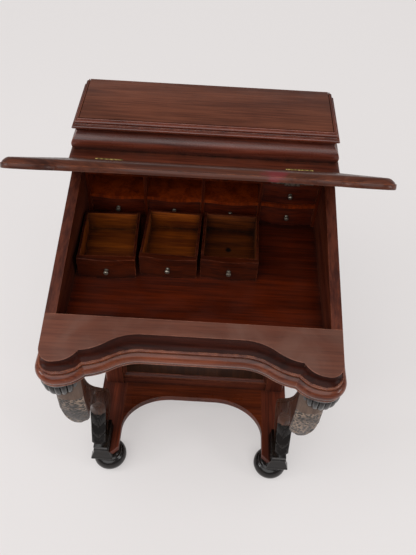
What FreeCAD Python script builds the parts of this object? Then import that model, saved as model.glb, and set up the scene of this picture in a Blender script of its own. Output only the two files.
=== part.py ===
import FreeCAD, Part

# A davenport writing desk: a small desk box with a hinged writing slope stands on a pedestal of
# side drawers and on two scroll legs, over a platform with bun feet. A shallow stationery box with
# its own lid closes the top. Lengths are millimetres.
#
# Frame: +X to the sitter's right, +Y to the back, +Z up. The origin is on the floor under the
# middle of the desk's bounding box. Depths are measured forwards from the desk's back plane.

import os
from math import atan2, cos, pi, radians, sin, sqrt, tan

from FreeCAD import Placement, Rotation, Vector

# ------------------------------------------------------------------------------------------------
# Driving dimensions
# ------------------------------------------------------------------------------------------------
SIZES = {
    # Desk box
    "desk_width": 580.0,
    "side_thick": 22.0,
    "back_thick": 12.0,
    "lobe_depth": 650.0,
    "recess_setback": 63.0,
    "recess_inset": 192.0,
    "cusp_setback": 25.0,
    "cusp_inset": 76.0,
    "bend_radius": 120.0,
    "bend_angle": 33.0,
    "lobe_radius": 38.0,
    "front_rail_depth": 95.0,
    "hinge_depth": 204.0,
    "case_height": 176.0,
    "slope_angle": 13.1,
    "desk_underside": 621.0,
    "desk_bottom_thick": 18.0,
    "well_floor_thick": 8.0,
    # Base moulding of the desk box
    "plinth_lip": 6.0,
    "plinth_bead": 29.0,
    "plinth_fillet": 7.0,
    "lip_overhang": 12.0,
    "bead_overhang": 16.0,
    "fillet_overhang": 6.0,
    "bead_chamfer": 6.5,
    # Platform and feet
    "platform_top": 86.0,
    "platform_thick": 22.0,
    "platform_inset": 22.0,
    "runner_width": 71.0,
    "runner_setback": 88.0,
    "runner_corner": 22.0,
    "board_depth": 369.0,
    "board_flat_half": 60.0,
    "board_arm": 105.0,
    "foot_radius": 45.0,
    "foot_round": 21.0,
    "foot_pad": 6.0,
    "foot_neck_radius": 27.0,
    "foot_inset": 43.5,
    "front_foot_setback": 35.0,
    "rear_foot_depth": 50.0,
    # Pedestal
    "pedestal_inset": 31.0,
    "pedestal_depth": 334.0,
    "post_width": 50.0,
    "post_depth": 40.0,
    "post_chamfer": 3.0,
    "rear_post_depth": 34.0,
    "pedestal_side_thick": 18.0,
    "foot_rail_height": 30.0,
    "head_rail_height": 60.0,
    "panel_frame_thick": 20.0,
    "panel_frame_setback": 4.0,
    "panel_thick": 8.0,
    "panel_setback": 16.0,
    "panel_bead": 10.0,
    # Side drawers and the sham fronts opposite
    "blade_thick": 12.0,
    "blade_depth": 44.0,
    "sill_thick": 14.0,
    "drawer_gap": 0.6,
    "drawer_front_thick": 20.0,
    "drawer_front_proud": 4.0,
    "drawer_side_thick": 9.0,
    "drawer_bottom_thick": 6.0,
    "drawer_tail_space": 8.0,
    "drawer_side_drop": 12.0,
    "runner_bar": 16.0,
    "knob_radius": 15.0,
    "knob_neck_radius": 7.0,
    "knob_length": 30.0,
    "knob_inset": 32.0,
    # Nest of small drawers in the well
    "nest_depth": 206.0,
    "nest_board": 8.0,
    "nest_row": 59.0,
    "nest_upright": 7.0,
    "small_gap": 0.5,
    "small_depth": 150.0,
    "small_front_thick": 11.0,
    "small_side_thick": 5.5,
    "small_bottom_thick": 4.0,
    "small_side_drop": 4.0,
    "small_wave": 2.4,
    "small_knob_radius": 5.6,
    "small_knob_neck": 2.8,
    "small_knob_length": 12.0,
    "catch_width": 34.0,
    "catch_bar_width": 96.0,
    "catch_bar_height": 4.0,
    "catch_thick": 1.6,
    "loose_depth_1": 399.0,
    "loose_depth_2": 386.0,
    "loose_depth_3": 384.0,
    "loose_shift_1": 1.3,
    "loose_shift_2": 0.7,
    "loose_shift_3": 0.6,
    "loose_turn_1": 2.2,
    "loose_turn_2": -1.8,
    "loose_turn_3": -0.8,
    # Rear board and writing slope
    "rear_board_overhang": 10.0,
    "rear_board_thick": 18.0,
    "edge_round": 8.0,
    "slope_side_overhang": 6.0,
    "slope_front_overhang": 4.0,
    "slope_thick": 17.0,
    "slope_clearance": 0.5,
    "slope_chamfer": 10.0,
    "slope_open_angle": 38.8,
    "slope_leaf_height": 9.0,
    "hinge_gap": 0.5,
    # Stationery box
    "box_rear_inset": 6.6,
    "box_front_setback": 39.0,
    "box_side_inset": 8.0,
    "box_height": 54.0,
    "box_wall": 14.0,
    "box_bulge": 13.0,
    "box_foot_swell": 9.0,
    "box_neck_hollow": 3.0,
    "lid_overhang": 8.0,
    "lid_thick": 20.0,
    "lid_panel_inset": 15.5,
    "lid_bead": 6.0,
    "lid_bead_inset": 6.5,
    "lid_rise": 17.0,
    "lid_rise_inset": 11.0,
    "lid_drop": 1.0,
    # Brass butt hinges
    "leaf_length": 60.0,
    "leaf_height": 13.0,
    "leaf_thick": 1.6,
    "knuckle_radius": 3.0,
    "knuckle_clearance": 0.4,
    "knuckle_gap": 0.1,
    "pin_radius": 1.2,
    "pin_clearance": 0.05,
    "slope_hinge_inset": 81.0,
    "box_hinge_inset": 110.0,
    # Scroll legs
    "leg_inset": 43.0,
    "scroll_thick": 43.0,
    "knee_thick": 56.0,
    "knee_depth": 44.0,
    "block_height": 32.0,
    "block_length": 92.0,
    "block_width": 56.0,
    "block_step": 5.0,
    "capital_shift": 7.0,
    "capital_setback": 36.0,
    "capital_radius": 44.0,
    "capital_height": 52.0,
    "capital_waist": 29.0,
}

doc = FreeCAD.newDocument("Davenport")
sheet = doc.addObject("Spreadsheet::Sheet", "Sizes")
for row, (alias, number) in enumerate(SIZES.items(), start=1):
    sheet.set(f"A{row}", alias)
    sheet.set(f"B{row}", str(number))
    sheet.setAlias(f"B{row}", alias)
doc.recompute()


class Size:
    """A length that knows its value and the spreadsheet expression that gives it."""

    def __init__(self, value, text):
        self.value = float(value)
        self.text = text

    def __float__(self):
        return self.value

    def __add__(self, other):
        other = as_size(other)
        return Size(self.value + other.value, f"({self.text} + {other.text})")

    def __sub__(self, other):
        other = as_size(other)
        return Size(self.value - other.value, f"({self.text} - {other.text})")

    def __mul__(self, factor):
        return Size(self.value * factor, f"({self.text} * {factor})")

    def __truediv__(self, factor):
        return Size(self.value / factor, f"({self.text} / {factor})")

    def __neg__(self):
        return Size(-self.value, f"(0 - {self.text})")

    __radd__ = __add__
    __rmul__ = __mul__

    def __rsub__(self, other):
        return as_size(other) - self


def as_size(number):
    """A plain number as a Size, and a Size as it is."""
    return number if isinstance(number, Size) else Size(number, str(number))


class Cells:
    """The sheet's cells, one Size to an alias."""

    def __getattr__(self, alias):
        return Size(sheet.get(alias), f"{sheet.Name}.{alias}")


c = Cells()

# ------------------------------------------------------------------------------------------------
# Sizes worked out from the driving ones
# ------------------------------------------------------------------------------------------------
half = c.desk_width / 2
inner_half = half - c.side_thick
back_y = (c.lobe_depth + c.bead_overhang) / 2
slope = radians(float(c.slope_angle))
recess_depth = c.lobe_depth - c.recess_setback
cusp_depth = c.lobe_depth - c.cusp_setback
well_depth = c.lobe_depth - c.front_rail_depth
rim_height = c.desk_underside + c.case_height
bottom_top = c.desk_underside + c.desk_bottom_thick
floor_top = bottom_top + c.well_floor_thick
plinth_height = c.plinth_lip + c.plinth_bead + c.plinth_fillet
platform_half = half - c.platform_inset
platform_base = c.platform_top - c.platform_thick
runner_front = c.lobe_depth - c.runner_setback
block_top = c.platform_top + c.block_height
pedestal_half = half - c.pedestal_inset
pedestal_inner = pedestal_half - c.pedestal_side_thick
blade_inner = pedestal_half - c.blade_depth
sill_top = c.platform_top + c.sill_thick
drawer_pitch = (c.desk_underside - sill_top) / 4
opening_height = drawer_pitch - c.blade_thick
opening_front = c.post_depth - c.pedestal_depth
opening_rear = -c.rear_post_depth
column_pitch = (inner_half * 2 - c.nest_upright) / 4
small_width = column_pitch - c.nest_upright - c.small_gap * 2
small_height = c.nest_row - c.small_gap * 2
shelf_base = floor_top + c.nest_row
upper_floor = shelf_base + c.nest_board
nest_top = upper_floor + c.nest_row
pivot_height = rim_height + c.rear_board_thick
slope_half = half + c.slope_side_overhang
slope_hinge_half = half - c.slope_hinge_inset
box_hinge_half = half - c.box_hinge_inset
box_half = half - c.box_side_inset
box_depth = c.hinge_depth - c.box_front_setback
box_top = pivot_height + c.box_height
lid_half = box_half + c.lid_overhang
lid_front = box_depth + c.lid_overhang
leg_middle = half - c.leg_inset


def rim(depth):
    """Height of the sloping rim at a depth from the desk's back."""
    return float(rim_height) - tan(slope) * (float(depth) - float(c.hinge_depth))


# ------------------------------------------------------------------------------------------------
# Building helpers
# ------------------------------------------------------------------------------------------------
nodes = []


def node(item, name):
    """Name a finished sub-part and list it for export."""
    item.Label = name
    nodes.append(item)
    return item


def bind(item, **expressions):
    """Bind properties of an object, such as Length or Base_x, to expressions."""
    for prop, size in expressions.items():
        path = prop.replace("Base_", "Placement.Base.")
        item.setExpression(path, as_size(size).text)


def board(name, x, y, z, local=False):
    """A rectangular board from its lowest to its highest x, y and z; y counts from the back."""
    item = doc.addObject("Part::Box", name)
    shift = as_size(0) if local else back_y
    bind(item, Length=x[1] - x[0], Width=y[1] - y[0], Height=z[1] - z[0])
    bind(item, Base_x=x[0], Base_y=y[0] + shift, Base_z=z[0])
    return item


def rod(name, radius, length, base):
    """A round rod along +X from a base point; y counts from the back."""
    item = doc.addObject("Part::Cylinder", name)
    item.Placement.Rotation = Rotation(Vector(0, 0, 1), Vector(1, 0, 0))
    bind(item, Radius=radius, Height=length)
    bind(item, Base_x=base[0], Base_y=base[1] + back_y, Base_z=base[2])
    return item


def group(name, items):
    """Separate solids that share one node."""
    item = doc.addObject("Part::Compound", name)
    item.Links = items
    return item


def fused(name, items):
    """Pieces joined into one solid."""
    item = doc.addObject("Part::MultiFuse", name)
    item.Shapes = items
    return item


def cut(name, base, tools):
    """A base object less its tools."""
    item = doc.addObject("Part::Cut", name)
    item.Base = base
    item.Tool = tools[0] if len(tools) == 1 else group(name + "_tools", tools)
    return item


def mirrored(name, source):
    """The same piece for the other side of the desk."""
    item = doc.addObject("Part::Mirroring", name)
    item.Source = source
    item.Normal = Vector(1, 0, 0)
    item.Base = Vector(0, 0, 0)
    return item


def modelled(name, shape, placement=None):
    """A piece whose shape is made with Part's functions from the sheet's sizes."""
    item = doc.addObject("Part::Feature", name)
    item.Shape = shape
    item.Placement = placement or Placement(Vector(0, float(back_y), 0), Rotation())
    return item


def chain(points):
    """Straight edges through 2-D points, closed."""
    corners = [Vector(float(a), float(b), 0) for a, b in points]
    pairs = zip(corners, corners[1:] + corners[:1])
    return [Part.LineSegment(start, end) for start, end in pairs]


def sketched(name, plane, curves):
    """A Body with a sketch of the curves on one of its own origin planes."""
    body = doc.addObject("PartDesign::Body", name)
    sketch = body.newObject("Sketcher::SketchObject", name + "_outline")
    planes = {feature.Role: feature for feature in body.Origin.OriginFeatures}
    sketch.AttachmentSupport = (planes[plane], [""])
    sketch.MapMode = "FlatFace"
    sketch.addGeometry(curves, False)
    return body, sketch


def padded(name, plane, curves, length):
    """A Body with one sketch padded to a length that follows the sheet."""
    body, sketch = sketched(name, plane, curves)
    pad = body.newObject("PartDesign::Pad", name + "_pad")
    pad.Profile = sketch
    bind(pad, Length=length)
    return body


def turned(name, curves):
    """A Body turned about its own Z axis from a half outline in its XZ plane."""
    body, sketch = sketched(name, "XZ_Plane", curves)
    revolution = body.newObject("PartDesign::Revolution", name + "_turn")
    revolution.Profile = sketch
    revolution.ReferenceAxis = (sketch, ["V_Axis"])
    revolution.Angle = 360.0
    return body


def joined_face(shapes):
    """The flat face inside edges that meet end to end."""
    return Part.Face(Part.Wire(Part.__sortEdges__(shapes)))


def swept(points, run):
    """A prism: a polygon through 3-D points, pushed along a run."""
    return Part.Face(Part.makePolygon(points + points[:1])).extrude(run)


def dome(x, y, top):
    """A round cap's outline from (x, y) to the turning axis, centred on that axis."""
    rise = top - y
    radius = (x ** 2 + rise ** 2) / (2 * rise)
    turn = atan2(x, y - top + radius) / 2
    middle = Vector(radius * sin(turn), top - radius + radius * cos(turn), 0)
    return Part.Arc(Vector(x, y, 0), middle, Vector(0, top, 0))


def knob_outline(radius, neck, length):
    """Half outline of a turned knob that stands on its seat: a collar, a cove and a bun."""
    collar = (radius + neck) / 2
    collar_top = length * 0.12
    cove_top = length * 0.40
    rim_low = length * 0.50
    rim_high = length * 0.80
    lip = radius * 0.88
    throat = neck * 1.15
    waist = length * 0.26
    return [
        Part.LineSegment(Vector(0, 0, 0), Vector(collar, 0, 0)),
        Part.LineSegment(Vector(collar, 0, 0), Vector(collar, collar_top, 0)),
        Part.Arc(Vector(collar, collar_top, 0), Vector(neck, waist, 0), Vector(throat, cove_top, 0)),
        Part.LineSegment(Vector(throat, cove_top, 0), Vector(lip, rim_low, 0)),
        Part.Arc(Vector(lip, rim_low, 0), Vector(radius, length * 0.65, 0), Vector(lip, rim_high, 0)),
        dome(lip, rim_high, length),
        Part.LineSegment(Vector(0, length, 0), Vector(0, 0, 0)),
    ]


# ------------------------------------------------------------------------------------------------
# The serpentine front, shared by the front rail, the base moulding and the slope
# ------------------------------------------------------------------------------------------------
def front_half(half_width, lobe, recess, cusp):
    """Right half of the serpentine front from the recess's end to the side, as plan curves.

    From the straight recess the front bends forwards, bends back to a cusp, and runs straight
    into a round lobe at the corner. Depths are positive forwards; the curves lie at y = -depth.
    """
    flat = float(half - c.recess_inset)
    cusp_point = Vector(float(half - c.cusp_inset), -cusp, 0)
    radius = float(c.bend_radius)
    turn = radians(float(c.bend_angle))

    def on_bend(angle):
        return Vector(flat + radius * sin(angle), -recess - radius * (1 - cos(angle)), 0)

    # The second bend leaves the first one along its tangent and ends at the cusp.
    chord = cusp_point - on_bend(turn)
    across = Vector(sin(turn), cos(turn), 0)
    second_radius = chord.Length ** 2 / (2 * chord.dot(across))
    second_centre = on_bend(turn) + across * second_radius
    spoke = (on_bend(turn) + cusp_point) * 0.5 - second_centre
    second_middle = second_centre + spoke.normalize() * abs(second_radius)
    # The straight run touches the corner's circle, which turns round to the side.
    corner_radius = float(c.lobe_radius)
    centre = Vector(half_width - corner_radius, corner_radius - lobe, 0)
    reach = centre - cusp_point
    run = sqrt(reach.Length ** 2 - corner_radius ** 2)
    aim = atan2(reach.y, reach.x) - atan2(corner_radius, run)
    touch = cusp_point + Vector(cos(aim), sin(aim), 0) * run
    middle_angle = (aim - pi / 2) / 2
    nose = centre + Vector(cos(middle_angle), sin(middle_angle), 0) * corner_radius
    return [
        Part.Arc(on_bend(0), on_bend(turn / 2), on_bend(turn)).toShape(),
        Part.Arc(on_bend(turn), second_middle, cusp_point).toShape(),
        Part.LineSegment(cusp_point, touch).toShape(),
        Part.Arc(touch, nose, centre + Vector(corner_radius, 0, 0)).toShape(),
    ]


def plan_face(half_width, lobe, recess, cusp, back):
    """The plan of a board with the serpentine front and a straight back edge at y = -back."""
    right = front_half(half_width, lobe, recess, cusp)
    left = [edge.mirror(Vector(0, 0, 0), Vector(1, 0, 0)) for edge in right]
    flat = float(half - c.recess_inset)
    side = float(c.lobe_radius) - lobe
    corners = [(half_width, side), (half_width, -back), (-half_width, -back), (-half_width, side)]
    points = [Vector(x, y, 0) for x, y in corners]
    straight = [Part.LineSegment(Vector(-flat, -recess, 0), Vector(flat, -recess, 0)).toShape()]
    straight += [Part.LineSegment(start, end).toShape() for start, end in zip(points, points[1:])]
    return joined_face(right + left + straight)


def raised(face, low, high):
    """A plan face raised between two heights."""
    solid = face.extrude(Vector(0, 0, high - low))
    solid.translate(Vector(0, 0, low))
    return solid


def side_profile_prism(corners, half_width):
    """A prism across the desk from a side outline of (y, z) corners."""
    points = [Vector(-half_width, y, z) for y, z in corners]
    return swept(points, Vector(2 * half_width, 0, 0))


# ------------------------------------------------------------------------------------------------
# Platform and bun feet
# ------------------------------------------------------------------------------------------------
def build_platform():
    """Two runners from back to front, with a concave-fronted board let in between them."""
    inner = platform_half - c.runner_width
    corners = [
        (inner, 0), (platform_half, 0), (platform_half, -runner_front),
        (platform_half - c.block_width, -runner_front), (inner, c.runner_corner - runner_front),
    ]
    right = padded("runner_right", "XY_Plane", chain(corners), c.platform_thick)
    bind(right, Base_y=back_y, Base_z=platform_base)
    node(group("platform_runners", [right, mirrored("runner_left", right)]), "platform_runners")

    # A quarter of an ellipse on each side brings the front edge out to the runners.
    flat = float(c.board_flat_half)
    wide = float(inner)
    deep = float(c.board_depth)
    arm = float(c.board_arm)
    curves = [
        ellipse_quarter(Vector(side * flat, -deep - arm, 0), Vector(side * (wide - flat), 0, 0), arm)
        for side in (-1, 1)
    ]
    front = Part.LineSegment(Vector(-flat, -deep, 0), Vector(flat, -deep, 0)).toShape()
    corners = [(-wide, -deep - arm), (-wide, 0), (wide, 0), (wide, -deep - arm)]
    points = [Vector(x, y, 0) for x, y in corners]
    straight = [Part.LineSegment(start, end).toShape() for start, end in zip(points, points[1:])]
    shape = joined_face(curves + [front] + straight).extrude(Vector(0, 0, float(c.platform_thick)))
    place = Placement(Vector(0, float(back_y), float(platform_base)), Rotation())
    node(modelled("platform_board", shape, place), "platform_board")


def ellipse_quarter(centre, beside, arm):
    """A quarter of an ellipse about a centre, from a vector beside it to an arm behind it."""
    behind = Vector(0, arm, 0)
    long, short = (beside, behind) if beside.Length > arm else (behind, beside)
    ellipse = Part.Ellipse(centre + long, centre + short, centre)
    low, high = sorted(ellipse.parameter(centre + end) for end in (beside, behind))
    if high - low > pi:
        low, high = high, low + 2 * pi
    return ellipse.toShape(low, high)


def build_feet():
    """Four turned bun feet: a pad, a wide bun and a short neck under the platform."""
    wide = float(c.foot_radius)
    bulge = float(c.foot_round)
    pad = float(c.foot_pad)
    neck = float(c.foot_neck_radius)
    top = float(platform_base)
    seat = wide - bulge
    bun_top = pad + 2 * bulge
    outline = [
        Part.LineSegment(Vector(0, 0, 0), Vector(seat, 0, 0)),
        Part.LineSegment(Vector(seat, 0, 0), Vector(seat, pad, 0)),
        Part.Arc(Vector(seat, pad, 0), Vector(wide, pad + bulge, 0), Vector(seat, bun_top, 0)),
        Part.LineSegment(Vector(seat, bun_top, 0), Vector(neck, (bun_top + top) / 2, 0)),
        Part.LineSegment(Vector(neck, (bun_top + top) / 2, 0), Vector(neck, top, 0)),
        Part.LineSegment(Vector(neck, top, 0), Vector(0, top, 0)),
        Part.LineSegment(Vector(0, top, 0), Vector(0, 0, 0)),
    ]
    across = platform_half - c.foot_inset
    front = back_y - runner_front + c.front_foot_setback
    rear = back_y - c.rear_foot_depth
    places = {
        "front_right": (across, front),
        "front_left": (-across, front),
        "rear_right": (across, rear),
        "rear_left": (-across, rear),
    }
    feet = []
    for corner, (x, y) in places.items():
        foot = turned(f"bun_foot_{corner}", outline)
        bind(foot, Base_x=x, Base_y=y)
        feet.append(foot)
    node(group("bun_feet", feet), "bun_feet")


# ------------------------------------------------------------------------------------------------
# Pedestal
# ------------------------------------------------------------------------------------------------
def build_pedestal_frame():
    """Posts, rails, panel, side and back of the pedestal."""
    low = c.platform_top
    high = c.desk_underside
    front = -c.pedestal_depth
    corners = [
        (pedestal_half - c.post_width, front), (pedestal_half - c.post_chamfer, front),
        (pedestal_half, front + c.post_chamfer), (pedestal_half, opening_front),
        (pedestal_half - c.post_width, opening_front),
    ]
    right = padded("front_post_right", "XY_Plane", chain(corners), high - low)
    bind(right, Base_y=back_y, Base_z=low)
    left = mirrored("front_post_left", right)
    rear = board("rear_post", (blade_inner, pedestal_half), (opening_rear, as_size(0)), (low, high))
    node(group("pedestal_posts", [right, left, rear]), "pedestal_posts")

    side_x = (-pedestal_half, -pedestal_inner)
    node(board("pedestal_side", side_x, (opening_front, as_size(0)), (low, high)), "pedestal_side")
    back_x = (-pedestal_inner, blade_inner)
    node(board("pedestal_back", back_x, (-c.back_thick, as_size(0)), (low, high)), "pedestal_back")

    rail_half = pedestal_half - c.post_width
    rail_front = front + c.panel_frame_setback
    rail_y = (rail_front, rail_front + c.panel_frame_thick)
    panel_low = low + c.foot_rail_height
    panel_high = high - c.head_rail_height
    foot_rail = board("foot_rail", (-rail_half, rail_half), rail_y, (low, panel_low))
    head_rail = board("head_rail", (-rail_half, rail_half), rail_y, (panel_high, high))
    node(group("panel_rails", [foot_rail, head_rail]), "front_panel_rails")

    panel_front = front + c.panel_setback
    panel_y = (panel_front, panel_front + c.panel_thick)
    node(board("front_panel", (-rail_half, rail_half), panel_y, (panel_low, panel_high)), "front_panel")
    bead = c.panel_bead
    bead_y = (panel_front - bead, panel_front)
    bead_half = rail_half - bead
    beads = [
        board("bead_foot", (-bead_half, bead_half), bead_y, (panel_low, panel_low + bead)),
        board("bead_head", (-bead_half, bead_half), bead_y, (panel_high - bead, panel_high)),
        board("bead_left", (-rail_half, -bead_half), bead_y, (panel_low, panel_high)),
        board("bead_right", (bead_half, rail_half), bead_y, (panel_low, panel_high)),
    ]
    node(group("panel_beads", beads), "front_panel_beads")


def build_drawer_frame():
    """Sill, blades and runners that carry the side drawers."""
    blade_x = (blade_inner, pedestal_half)
    blade_y = (opening_front, opening_rear)
    blades = [board("drawer_sill", blade_x, blade_y, (c.platform_top, sill_top))]
    runners = []
    for step in range(4):
        low = sill_top + drawer_pitch * step
        bar_z = (low - c.blade_thick, low)
        if step:
            blades.append(board(f"drawer_blade_{step}", blade_x, blade_y, bar_z))
        for end, edge in (("front", opening_front), ("rear", opening_rear - c.runner_bar)):
            bar_y = (edge, edge + c.runner_bar)
            bar_x = (-pedestal_inner, blade_inner)
            runners.append(board(f"runner_bar_{end}_{step + 1}", bar_x, bar_y, bar_z))
    head_z = (c.desk_underside - c.blade_thick, c.desk_underside)
    blades.append(board("drawer_head", blade_x, blade_y, head_z))
    node(group("drawer_blades", blades), "drawer_blades")
    node(group("drawer_runners", runners), "drawer_runners")


def wood_knob(name, x, y, z, side):
    """A turned wooden knob seated on a drawer front that faces +X or -X."""
    outline = knob_outline(float(c.knob_radius), float(c.knob_neck_radius), float(c.knob_length))
    knob = turned(name, outline)
    knob.Placement.Rotation = Rotation(Vector(0, 0, 1), Vector(side, 0, 0))
    bind(knob, Base_x=x, Base_y=y + back_y, Base_z=z)
    return knob


def drawer_heights(number):
    """Bottom and top of a side drawer's front, counted from the lowest drawer."""
    low = sill_top + drawer_pitch * (number - 1)
    return low, low + opening_height - c.drawer_gap * 2


def build_side_drawers():
    """Four drawers that pull out to the sitter's right, with a pair of knobs each."""
    near = opening_front + c.drawer_gap
    far = opening_rear - c.drawer_gap
    face = pedestal_half + c.drawer_front_proud
    inside = face - c.drawer_front_thick
    tail = -pedestal_inner + c.drawer_tail_space
    wall = c.drawer_side_thick
    for number in range(1, 5):
        low, high = drawer_heights(number)
        pieces = [board(f"side_front_{number}", (inside, face), (near, far), (low, high))]
        for end, y in (("near", near + c.knob_inset), ("far", far - c.knob_inset)):
            pieces.append(wood_knob(f"side_knob_{number}_{end}", face, y, (low + high) / 2, 1))
        node(group(f"side_front_set_{number}", pieces), f"side_drawer_{number}_front")
        side_high = high - c.drawer_side_drop
        floor_high = low + c.drawer_bottom_thick
        tail_high = side_high - c.drawer_side_drop
        between = (near + wall, far - wall)
        box = [
            board(f"box_near_{number}", (tail, inside), (near, near + wall), (low, side_high)),
            board(f"box_far_{number}", (tail, inside), (far - wall, far), (low, side_high)),
            board(f"box_tail_{number}", (tail, tail + wall), between, (floor_high, tail_high)),
            board(f"box_floor_{number}", (tail, inside), between, (low, floor_high)),
        ]
        node(group(f"side_box_{number}", box), f"side_drawer_{number}_box")


def build_sham_fronts():
    """Four sham drawer fronts on the sitter's left, with knobs that match the real ones."""
    near = opening_front + c.drawer_gap
    far = opening_rear - c.drawer_gap
    face = -pedestal_half - c.drawer_front_proud
    pieces = []
    for number in range(1, 5):
        low, high = drawer_heights(number)
        pieces.append(board(f"sham_front_{number}", (face, -pedestal_half), (near, far), (low, high)))
        for end, y in (("near", near + c.knob_inset), ("far", far - c.knob_inset)):
            pieces.append(wood_knob(f"sham_knob_{number}_{end}", face, y, (low + high) / 2, -1))
    node(group("sham_fronts", pieces), "sham_drawer_fronts")


# ------------------------------------------------------------------------------------------------
# Desk box
# ------------------------------------------------------------------------------------------------
def build_desk_box():
    """Sides, back, bottom, floor and front rail of the desk box."""
    under = float(c.desk_underside)
    well = float(well_depth)
    hinge = float(c.hinge_depth)
    seat = rim(hinge)
    corners = [(0, under), (-well, under), (-well, rim(well)), (-hinge, seat), (0, seat)]
    right = padded("desk_side_right", "YZ_Plane", chain(corners), c.side_thick)
    bind(right, Base_x=inner_half, Base_y=back_y)
    node(right, "desk_side_right")
    node(mirrored("desk_side_left", right), "desk_side_left")

    span = (-inner_half, inner_half)
    inside = (-well_depth, -c.back_thick)
    back_z = (c.desk_underside, rim_height)
    node(board("desk_back", span, (-c.back_thick, as_size(0)), back_z), "desk_back")
    node(board("desk_bottom", span, inside, (c.desk_underside, bottom_top)), "desk_bottom")
    node(board("well_floor", span, inside, (bottom_top, floor_top)), "well_floor")

    lobe = float(c.lobe_depth)
    plan = plan_face(float(half), lobe, float(recess_depth), float(cusp_depth), well)
    blank = raised(plan, under, float(rim_height))
    below = [(-well, under), (-lobe, under), (-lobe, rim(lobe)), (-well, rim(well))]
    rail = blank.common(side_profile_prism(below, float(c.desk_width)))
    node(modelled("front_rail", rail), "front_rail")


def build_desk_moulding():
    """Base moulding in three courses: a lip, a broad bead and a fillet, along front and sides."""
    lobe = float(c.lobe_depth)
    under = float(c.desk_underside)
    plan = plan_face(float(half), lobe, float(recess_depth), float(cusp_depth), 0)
    tall = float(plinth_height)
    bead_low = float(c.plinth_lip)
    bead_high = bead_low + float(c.plinth_bead)
    lip = plan.makeOffset2D(float(c.lip_overhang), 2)
    bead = plan.makeOffset2D(float(c.bead_overhang), 2)
    fillet = plan.makeOffset2D(float(c.fillet_overhang), 2)
    bead_solid = raised(bead, bead_low, bead_high)
    rims = [
        edge for edge in bead_solid.Edges
        if edge.BoundBox.ZMin > bead_high - bead_low and edge.BoundBox.YMin < 0
    ]
    bead_solid = bead_solid.makeChamfer(float(c.bead_chamfer), rims)
    courses = [bead_solid, raised(fillet, bead_high, tall)]
    ring = raised(lip, 0, bead_low).fuse(courses).cut(raised(plan, 0, tall)).removeSplitter()
    # The side lengths are separate pieces that butt against the front one behind the lobes.
    wide = float(c.desk_width)
    outer = float(half)
    joint = float(c.lobe_radius) - lobe
    zone = [(outer, joint), (outer, 0), (wide, 0), (wide, joint)]
    right_zone = swept([Vector(x, y, 0) for x, y in zone], Vector(0, 0, tall))
    left_zone = swept([Vector(-x, y, 0) for x, y in zone], Vector(0, 0, tall))
    behind = Part.makeBox(2 * wide, wide, tall, Vector(-wide, 0, 0))
    place = Placement(Vector(0, float(back_y), under), Rotation())
    front = modelled("moulding_front", ring.cut([right_zone, left_zone, behind]), place)
    side = modelled("moulding_right", ring.common(right_zone), place)
    pieces = [front, side, mirrored("moulding_left", side)]
    node(group("moulding", pieces), "desk_moulding")


# ------------------------------------------------------------------------------------------------
# Nest of small drawers
# ------------------------------------------------------------------------------------------------
def wave_curves(width, rear):
    """A serpentine front edge over one width, closed by a straight rear edge.

    The edge swings from y = 0 at both ends to two waves forward in the middle, in equal arcs.
    """
    wave = float(c.small_wave)
    quarter = width / 4
    radius = (quarter ** 2 + wave ** 2) / (2 * wave)
    dip = radius - sqrt(radius ** 2 - (quarter / 2) ** 2)
    left = Vector(-2 * quarter, 0, 0)
    right = Vector(2 * quarter, 0, 0)
    return [
        Part.Arc(left, Vector(-1.5 * quarter, -dip, 0), Vector(-quarter, -wave, 0)),
        Part.Arc(Vector(-quarter, -wave, 0), Vector(0, -2 * wave, 0), Vector(quarter, -wave, 0)),
        Part.Arc(Vector(quarter, -wave, 0), Vector(1.5 * quarter, -dip, 0), right),
        Part.LineSegment(right, Vector(2 * quarter, rear, 0)),
        Part.LineSegment(Vector(2 * quarter, rear, 0), Vector(-2 * quarter, rear, 0)),
        Part.LineSegment(Vector(-2 * quarter, rear, 0), left),
    ]


def column_middle(number):
    """Middle of one of the nest's four columns, counted from the left."""
    return -inner_half + c.nest_upright / 2 + column_pitch * (number - 0.5)


def build_nest():
    """Shelves, uprights and top that divide the nest into two rows of four."""
    clear = float(column_pitch - c.nest_upright)
    deep = float(c.nest_depth - c.back_thick)
    shelves = []
    for number in range(1, 5):
        shelf = padded(f"nest_shelf_{number}", "XY_Plane", wave_curves(clear, deep), c.nest_board)
        bind(shelf, Base_x=column_middle(number), Base_y=back_y - c.nest_depth, Base_z=shelf_base)
        shelves.append(shelf)
    node(group("nest_shelves", shelves), "nest_shelves")
    inside = (-c.nest_depth, -c.back_thick)
    upright_z = (floor_top, nest_top)
    frame = []
    for line in range(5):
        left = -inner_half + column_pitch * line
        upright_x = (left, left + c.nest_upright)
        frame.append(board(f"nest_upright_{line + 1}", upright_x, inside, upright_z))
    top_z = (nest_top, nest_top + c.nest_board)
    frame.append(board("nest_top", (-inner_half, inner_half), inside, top_z))
    node(group("nest_frame", frame), "nest_frame")


def small_drawer_pieces():
    """The boards of one small drawer in its own frame, shared by all eight."""
    width = small_width
    wall = c.small_side_thick
    thick = c.small_front_thick
    deep = c.small_depth
    base = as_size(0)
    side_high = small_height - c.small_side_drop
    floor_high = c.small_bottom_thick
    inner = width / 2 - wall
    front = padded("small_front", "XY_Plane", wave_curves(float(width), float(thick)), small_height)
    return [
        front,
        board("small_left", (-width / 2, -inner), (thick, deep), (base, side_high), local=True),
        board("small_right", (inner, width / 2), (thick, deep), (base, side_high), local=True),
        board("small_rear", (-inner, inner), (deep - wall, deep), (floor_high, side_high), local=True),
        board("small_floor", (-inner, inner), (thick, deep), (base, floor_high), local=True),
    ]


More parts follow.
